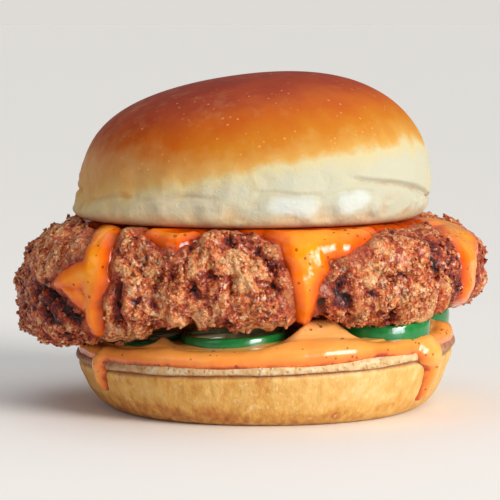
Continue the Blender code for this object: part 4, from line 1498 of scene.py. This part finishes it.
@dataclass(frozen=True)
class HotSauce:
    """Hot sauce under the top bun, with streams down the fillet's front and back."""

    fillet: Fillet
    crown: Crown
    thickness: float = 2.3
    spread: float = 49.0
    bare_places: tuple[float, ...] = (-36.5, -11.5)
    bare_width: float = 5.0
    bare_depth: float = 3.0
    edge: float = 3.2
    front: tuple[tuple[tuple[float, float, float], ...], ...] = (
        (
            ((-37, 52.6, 5), (-43, 51.5, 4.6), (-45.5, 47, 5))
            + ((-46.5, 41, 5.5), (-47.5, 35, 3.6), (-46.5, 23.5, 2.4))
        ),
        ((-57, 38.5, 2.2), (-52, 40.5, 4.2), (-47, 42, 5)),
        ((-54.5, 37.5, 2.4), (-50, 35.5, 3.6), (-47, 32, 3.4)),
        ((-22, 52.7, 4), (-30, 51.8, 4), (-24, 51, 3.8), (-20, 51.5, 3)),
        ((0, 52.6, 6), (12, 51, 6), (22, 51.5, 5), (30, 52.2, 3.2)),
        ((10, 50, 7), (11, 45, 5.8), (10.4, 39, 4.2), (10, 33, 3), (10, 27.5, 2.4)),
        (
            ((38, 52.7, 5), (47, 51.8, 6.5), (54, 49.2, 7.4))
            + ((57.3, 43.5, 7.2), (57.3, 37, 5.4), (54.6, 31.5, 3.4))
        ),
    )
    back: tuple[tuple[tuple[float, float, float], ...], ...] = (
        ((-12, 52.7, 6), (-14, 50, 6), (-16, 42, 4), (-15, 33, 3)),
        ((26, 52.7, 6), (31, 50, 5.5), (33, 41, 3.4)),
        ((-42, 52.6, 6), (-54, 50, 5), (-60, 42, 3.4)),
    )

    def depth(self, points: np.ndarray) -> np.ndarray:
        """Lays each stream on the slab and measures the depth inside them.

        Args:
            points: Places on the slab.

        Returns:
            Millimetres inside the nearest stream, negative outside.
        """
        streams = [self.fillet.lay(stream, -self.fillet.half_front) for stream in self.front]
        streams += [self.fillet.lay(stream, self.fillet.half_back) for stream in self.back]
        return stream_depth(points, streams)

    def gaps(self, points: np.ndarray) -> np.ndarray:
        """Flat-topped bells along x, at the front only, where the breading shows up to the bun.

        Args:
            points: Places on the slab.

        Returns:
            0 to 1 in the gaps.
        """
        bells = [np.exp(-(((points[..., 0] - place) / self.bare_width) ** 4)) for place in self.bare_places]
        return np.sum(bells, axis=0) * (points[..., 1] < 0.0)

    def build(self, crust: Crust) -> None:
        """A bead whose height is the root of the depth inside the streams, following the crust below it.

        Args:
            crust: The breading that it runs over.
        """
        slab = self.fillet.slab()
        from_crown = np.hypot(slab[..., 0] - self.crown.centre_x, slab[..., 1])
        pressed = (slab[..., 2] > self.fillet.top - 6.0) & (from_crown < self.spread + 4.0)
        reach = self.spread - self.bare_depth * self.gaps(slab)
        spread = np.where(pressed, reach - from_crown, -FAR)
        ragged = 0.55 * lumps(slab, 5.0, seed=111) + 0.3 * lumps(slab, 2.2, seed=112)
        depth = np.maximum(self.depth(slab), spread) + ragged
        free = self.fillet.free(slab, from_crown)
        broad, whole, _, _ = crust.relief(slab)
        follow = crust.sauced_relief * free * (0.6 * broad + 0.4 * whole)
        raised = self.thickness * np.sqrt(ramp(0.0, self.edge, depth))
        raised *= 1.0 + 0.12 * lumps(slab, 4.5, seed=113)
        raised += follow * smoothstep(-2.0, 1.5, depth) + 1.3 * np.clip(depth, -2.5, 0.0)
        points = slab + grid_normals(slab) * raised[..., None]
        points[..., 2] = np.minimum(points[..., 2], self.crown.base - GAP)
        # Under the top bun's edge the sauce is painted darker red: a painted shadow of the bun.
        thick = ramp(-0.5, self.edge + 1.5, depth) * (0.45 + 0.55 * smoothstep(47.0, 52.0, from_crown))
        finish = HotSauceFinish(
            "Hot sauce",
            ior=1.37,
            roughness=0.14,
            subsurface=0.1,
            reach=(2.0, 1.0, 0.3),
            coat=0.18,
            coat_roughness=0.05,
        )
        mesh = Wrap(points, {"thick": thick}).patch_mesh("hot_sauce_poured", depth > -1.6)
        publish(mesh, finish, ["hot_sauce"])


class Ring(NamedTuple):
    """Where a chilli slice lies and its size; rise is its slope along +X, and turn is in degrees."""

    x: float
    y: float
    radius: float
    thickness: float
    rise: float
    turn: float


@dataclass(frozen=True)
class Chilli:
    """Slices of green chilli: a skin, a wall of flesh, and ribs that meet in a pithy middle."""

    fillet: Fillet
    spokes: int = 42
    ribs: int = 3
    rib_spokes: int = 4
    inward: tuple[float, ...] = (0.9, 0.85, 0.75, 0.14, 0.03)
    wall: float = 3.4
    core: float = 3.8
    pole: float = 0.6
    skin: float = 0.9
    rounding: float = 0.3
    drop: float = 1.6
    levels: int = 2
    rings: tuple[Ring, ...] = (
        Ring(-33.5, -20.5, 10.5, 2.8, 0.12, 10.0),
        Ring(-8.5, -32.0, 15.0, 4.0, 0.05, 50.0),
        Ring(32.0, -23.0, 14.2, 6.2, 0.04, 95.0),
        Ring(39.5, 9.0, 14.4, 5.6, 0.02, 20.0),
        Ring(-26.0, 26.0, 13.5, 3.4, 0.10, 70.0),
        Ring(12.0, 31.0, 14.0, 4.6, 0.07, 35.0),
    )

    def ring(self, piece: Ring, radius: float, height: float) -> np.ndarray:
        """A slightly three-lobed circle, tilted with its slice.

        Args:
            piece: The slice.
            radius: Distance from its middle.
            height: Distance above its middle plane.

        Returns:
            One point on each spoke.
        """
        theta = turns(self.spokes) + math.radians(piece.turn)
        uneven = radius * (1.0 + 0.03 * np.cos(2.0 * theta) + 0.02 * np.sin(3.0 * theta))
        x, y = uneven * np.cos(theta), uneven * np.sin(theta)
        middle = self.fillet.underside(piece.x) - self.drop - piece.thickness / 2.0
        return np.stack([piece.x + x, piece.y + y, middle + height + piece.rise * x], axis=-1)

    def faces(self) -> np.ndarray:
        """Faces between rings and spokes, with the ribs bridged and the holes between them open.

        Returns:
            Four corners a face; the rings are the upper ones, the lower ones, then the skin's middle.
        """
        spoke = np.arange(self.spokes)
        after = np.roll(spoke, -1)
        count = 5 * self.spokes
        at = [ring * self.spokes for ring in range(5)]  # pole, core, wall, under the skin, edge
        rib = (spoke % (self.spokes // self.ribs)) < self.rib_spokes
        first, last = rib & ~np.roll(rib, 1), rib & ~np.roll(rib, -1)
        bottom = count
        quads = []
        for inner, outer, there in ((0, 1, spoke >= 0), (1, 2, rib), (2, 3, spoke >= 0), (3, 4, spoke >= 0)):
            s, n = spoke[there], after[there]
            top = np.stack([at[inner] + s, at[outer] + s, at[outer] + n, at[inner] + n], axis=-1)
            quads += [top, top[:, ::-1] + bottom]
        s, n = spoke[~rib], after[~rib]
        quads.append(np.stack([at[1] + n, at[1] + s, at[1] + s + bottom, at[1] + n + bottom], axis=-1))
        quads.append(np.stack([at[2] + s, at[2] + n, at[2] + n + bottom, at[2] + s + bottom], axis=-1))
        s, n = spoke[first], after[last]
        quads.append(np.stack([at[2] + s, at[1] + s, at[1] + s + bottom, at[2] + s + bottom], axis=-1))
        quads.append(np.stack([at[1] + n, at[2] + n, at[2] + n + bottom, at[1] + n + bottom], axis=-1))
        skin = 2 * count
        quads.append(np.stack([at[4] + after, at[4] + spoke, skin + spoke, skin + after], axis=-1))
        low = at[4] + bottom
        quads.append(np.stack([skin + after, skin + spoke, low + spoke, low + after], axis=-1))
        return np.concatenate(quads)

    def build(self) -> None:
        """Builds each slice on rings and spokes and rounds it by subdivision."""
        finish = ChilliFlesh(
            "Green chilli",
            ior=1.38,
            roughness=0.16,
            subsurface=0.12,
            reach=(0.8, 1.4, 0.4),
            coat=0.6,
            coat_roughness=0.08,
        )
        for number, piece in enumerate(self.rings, start=1):
            radii = [self.pole, self.core]
            radii += [piece.radius - inset for inset in (self.wall, self.skin, self.rounding)]
            half = piece.thickness / 2.0
            rings = [self.ring(piece, radius, side * half) for side in (1.0, -1.0) for radius in radii]
            rings.append(self.ring(piece, piece.radius, 0.0))
            marks = {"inward": np.repeat(2 * self.inward + (0.0,), self.spokes)}
            mesh = new_mesh(f"chilli_ring_{number}", np.concatenate(rings), [self.faces()], marks)
            slice_piece = publish(mesh, finish, [f"chilli_slice_{number}"])
            rounded = slice_piece.modifiers.new("Rounded", "SUBSURF")
            rounded.levels = self.levels
            rounded.render_levels = self.levels


@dataclass(frozen=True)
class BurgerSauce:
    """Burger sauce between the bottom bun and the fillet, rounded over the bun's rim, with its runs."""

    heel: Heel
    fillet: Fillet
    chilli: Chilli
    thickness: float = 3.0
    edge: float = 4.5
    slope: float = 11.0
    run_thickness: float = 2.6
    run_edge: float = 3.0
    reach: float = 55.0
    stretches: tuple[tuple[float, int], ...] = ((0.5, 24), (1.0, 110))
    columns: int = 560
    runs: tuple[tuple[tuple[float, float, float, float], ...], ...] = (
        ((45, -29, 20, 6), (46.5, -27, 15, 3), (45.5, -26, 9, 2.4), (44, -26, 4.5, 2.0)),
        ((-45, -29, 18, 4), (-45.7, -28.3, 14, 3.0), (-45.8, -27.8, 11, 2.4), (-45.4, -27.4, 8.5, 1.6)),
        ((-20, 50, 18, 5), (-20, 50, 12, 2.6)),
        ((50, 20, 20, 6), (49, 20, 13, 2.4)),
    )

    def level(self, points: np.ndarray) -> np.ndarray:
        """Half way up the nearest slice, blending to the fillet's underside away from the slices.

        Args:
            points: Places on the bun.

        Returns:
            Height of the sauce's top there.
        """
        level = np.zeros(points.shape[:-1])
        nearest = np.full(points.shape[:-1], FAR)
        for piece in self.chilli.rings:
            along = points[..., 0] - piece.x
            away = np.hypot(along, points[..., 1] - piece.y) - piece.radius
            middle = self.fillet.underside(piece.x) - self.chilli.drop - 0.5 * piece.thickness
            level = np.where(away < nearest, middle + piece.rise * along, level)
            nearest = np.minimum(nearest, away)
        full = self.fillet.underside(points[..., 0]) + 1.5
        return level + (full - level) * smoothstep(1.5, 8.0, nearest)

    def build(self) -> None:
        """A rounded edge, like the root of the depth inside it, joined to a slope up to the slices."""
        t = spaced_rows(self.heel.profile, self.stretches, last=0.97)
        bun = self.heel.surface(t, self.columns)
        normal = grid_normals(bun)
        below_rim = np.clip(self.heel.tilt(self.heel.rim_height, bun[..., 0]) - bun[..., 2], 0.0, None)
        from_middle = np.hypot(bun[..., 0], bun[..., 1])
        spread = self.reach + 0.7 * lumps(bun, 14.0, seed=71) - from_middle - below_rim
        spread += 0.25 * lumps(bun, 4.0, seed=72)
        runs = stream_depth(bun, self.runs)
        depth = np.maximum(spread, runs)
        level = self.level(bun)
        mound = self.thickness * np.sqrt(ramp(0.0, self.edge, spread))
        slope = np.clip(level - bun[..., 2] - below_rim, 0.0, None) * ramp(0.0, self.slope, spread) ** 0.75
        run = self.run_thickness * np.sqrt(ramp(0.0, self.run_edge, runs))
        raised = (mound**4 + slope**4 + run**4) ** 0.25 * (1.0 + 0.04 * lumps(bun, 9.0, seed=73))
        raised += below_rim * smoothstep(1.0, 3.0, spread)
        raised += np.clip(depth, -2.0, 0.0)
        direction = normal + (UP - normal) * smoothstep(1.5, 5.0, spread)[..., None]
        points = bun + direction * raised[..., None]
        points[..., 2] += (level - points[..., 2]) * smoothstep(6.0, 12.0, spread)
        finish = BurgerSauceFinish(
            "Burger sauce",
            ior=1.4,
            roughness=0.2,
            subsurface=0.1,
            reach=(2.0, 1.1, 0.5),
            coat=0.25,
            coat_roughness=0.08,
        )
        mesh = Wrap(points, {"thick": ramp(-0.5, 5.0, depth)}).patch_mesh("burger_sauce_spread", depth > -1.2)
        publish(mesh, finish, ["burger_sauce"])


# The studio


class SoftBox(NamedTuple):
    """A square area light: place and side in metres, power in watts, and whether only gloss shows it."""

    name: str
    place: tuple[float, float, float]
    side: float
    power: float
    colour: str
    gleam_only: bool = False


class Daylight(NamedTuple):
    """Light from far away: where it comes from, how many degrees wide its source looks, and its strength."""

    name: str
    place: tuple[float, float, float]
    spread: float
    strength: float
    colour: str


@dataclass(frozen=True)
class Studio:
    """A pale floor, soft light and the camera at the photograph's angle."""

    target: tuple[float, float, float] = (-0.0045, 0.0, 0.0444)
    distance: float = 0.75
    elevation: float = 5.5
    width_at_target: float = 0.145
    sensor: float = 36.0
    floor_radius: float = 12.0
    floor_colour: str = "#f8f7f5"
    floor_roughness: float = 0.8
    sky: float = 0.24
    backdrop: str = "#dedbd7"
    daylight: tuple[Daylight, ...] = (
        Daylight("Window", (0.66, -0.56, 0.46), 28.0, 2.15, "#fff9f0"),
        Daylight("Ceiling", (0.1, 0.15, 1.0), 80.0, 0.9, "#ffffff"),
    )
    boxes: tuple[SoftBox, ...] = (
        SoftBox("Right", (0.5, -0.5, 0.2), 0.24, 1.35, "#fff4e8"),
        SoftBox("Low", (0.42, -0.75, 0.06), 0.3, 0.5, "#ffffff"),
        SoftBox("Left", (-0.8, -0.6, 0.4), 0.5, 0.85, "#f2f3ff"),
        SoftBox("Gleam", (0.5, -0.52, 0.1), 0.36, 5.0, "#f2f8ff", True),
    )

    def build(self) -> None:
        """Makes the floor, the sky, the lights and the camera."""
        self.floor()
        world = bpy.data.worlds.new("Pale studio")
        world.use_nodes = True
        graph = Graph(world.node_tree)
        seen = graph.add("ShaderNodeLightPath", {}, output="Is Camera Ray")
        glow = (self.sky, self.sky, self.sky, 1.0)
        inputs: Inputs = {0: seen, 6: glow, 7: linear(self.backdrop)}
        colour = graph.add(MIX, inputs, output=2, data_type="RGBA")
        world.node_tree.links.new(colour, world.node_tree.nodes["Background"].inputs["Color"])
        bpy.context.scene.world = world
        bpy.context.scene.view_settings.view_transform = "Standard"
        for source in self.daylight:
            sun = bpy.data.lights.new(source.name, "SUN")
            sun.angle = math.radians(source.spread)
            sun.energy = source.strength
            sun.color = linear(source.colour)[:3]
            self.place(source.name, sun, Vector(source.place))
        for box in self.boxes:
            lamp = bpy.data.lights.new(box.name, "AREA")
            lamp.size = box.side
            lamp.energy = box.power
            lamp.color = linear(box.colour)[:3]
            self.place(box.name, lamp, Vector(box.place)).visible_diffuse = not box.gleam_only
        camera = bpy.data.cameras.new("Camera")
        camera.sensor_width = self.sensor
        camera.lens = self.sensor * self.distance / self.width_at_target
        tilt = math.radians(self.elevation)
        away = Vector((0.0, -math.cos(tilt), math.sin(tilt))) * self.distance
        bpy.context.scene.camera = self.place("Camera", camera, Vector(self.target) + away)

    def place(self, name: str, data: bpy.types.ID, at: Vector) -> bpy.types.Object:
        """Puts a light or the camera somewhere, aimed at the burger.

        Args:
            name: The object's name.
            data: The light or camera.
            at: Where it goes, in metres.

        Returns:
            The object.
        """
        thing = bpy.data.objects.new(name, data)
        thing.location = at
        thing.rotation_euler = (Vector(self.target) - at).to_track_quat("-Z", "Y").to_euler()
        bpy.context.scene.collection.objects.link(thing)
        return thing

    def floor(self) -> None:
        """A pale matt disc at the burger's foot."""
        shape = bmesh.new()
        bmesh.ops.create_circle(shape, cap_ends=True, segments=96, radius=self.floor_radius)
        mesh = bpy.data.meshes.new("Floor")
        shape.to_mesh(mesh)
        shape.free()
        floor = bpy.data.objects.new("Floor", mesh)
        bpy.context.scene.collection.objects.link(floor)
        material = bpy.data.materials.new("Pale floor")
        material.use_nodes = True
        shader = material.node_tree.nodes["Principled BSDF"]
        shader.inputs["Base Color"].default_value = linear(self.floor_colour)
        shader.inputs["Roughness"].default_value = self.floor_roughness
        mesh.materials.append(material)


def main() -> None:
    """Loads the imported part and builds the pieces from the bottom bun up."""
    logging.basicConfig(level=logging.INFO, format="%(name)s: %(message)s")
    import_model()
    Studio().build()
    heel = Heel()
    crown = Crown()
    fillet = Fillet()
    crust = Crust(fillet)
    chilli = Chilli(fillet)
    hot_sauce = HotSauce(fillet, crown)
    heel.build()
    BurgerSauce(heel, fillet, chilli).build()
    chilli.build()
    crust.build(crown, hot_sauce)
    hot_sauce.build(crust)
    crown.build()


if __name__ == "__main__":
    main()
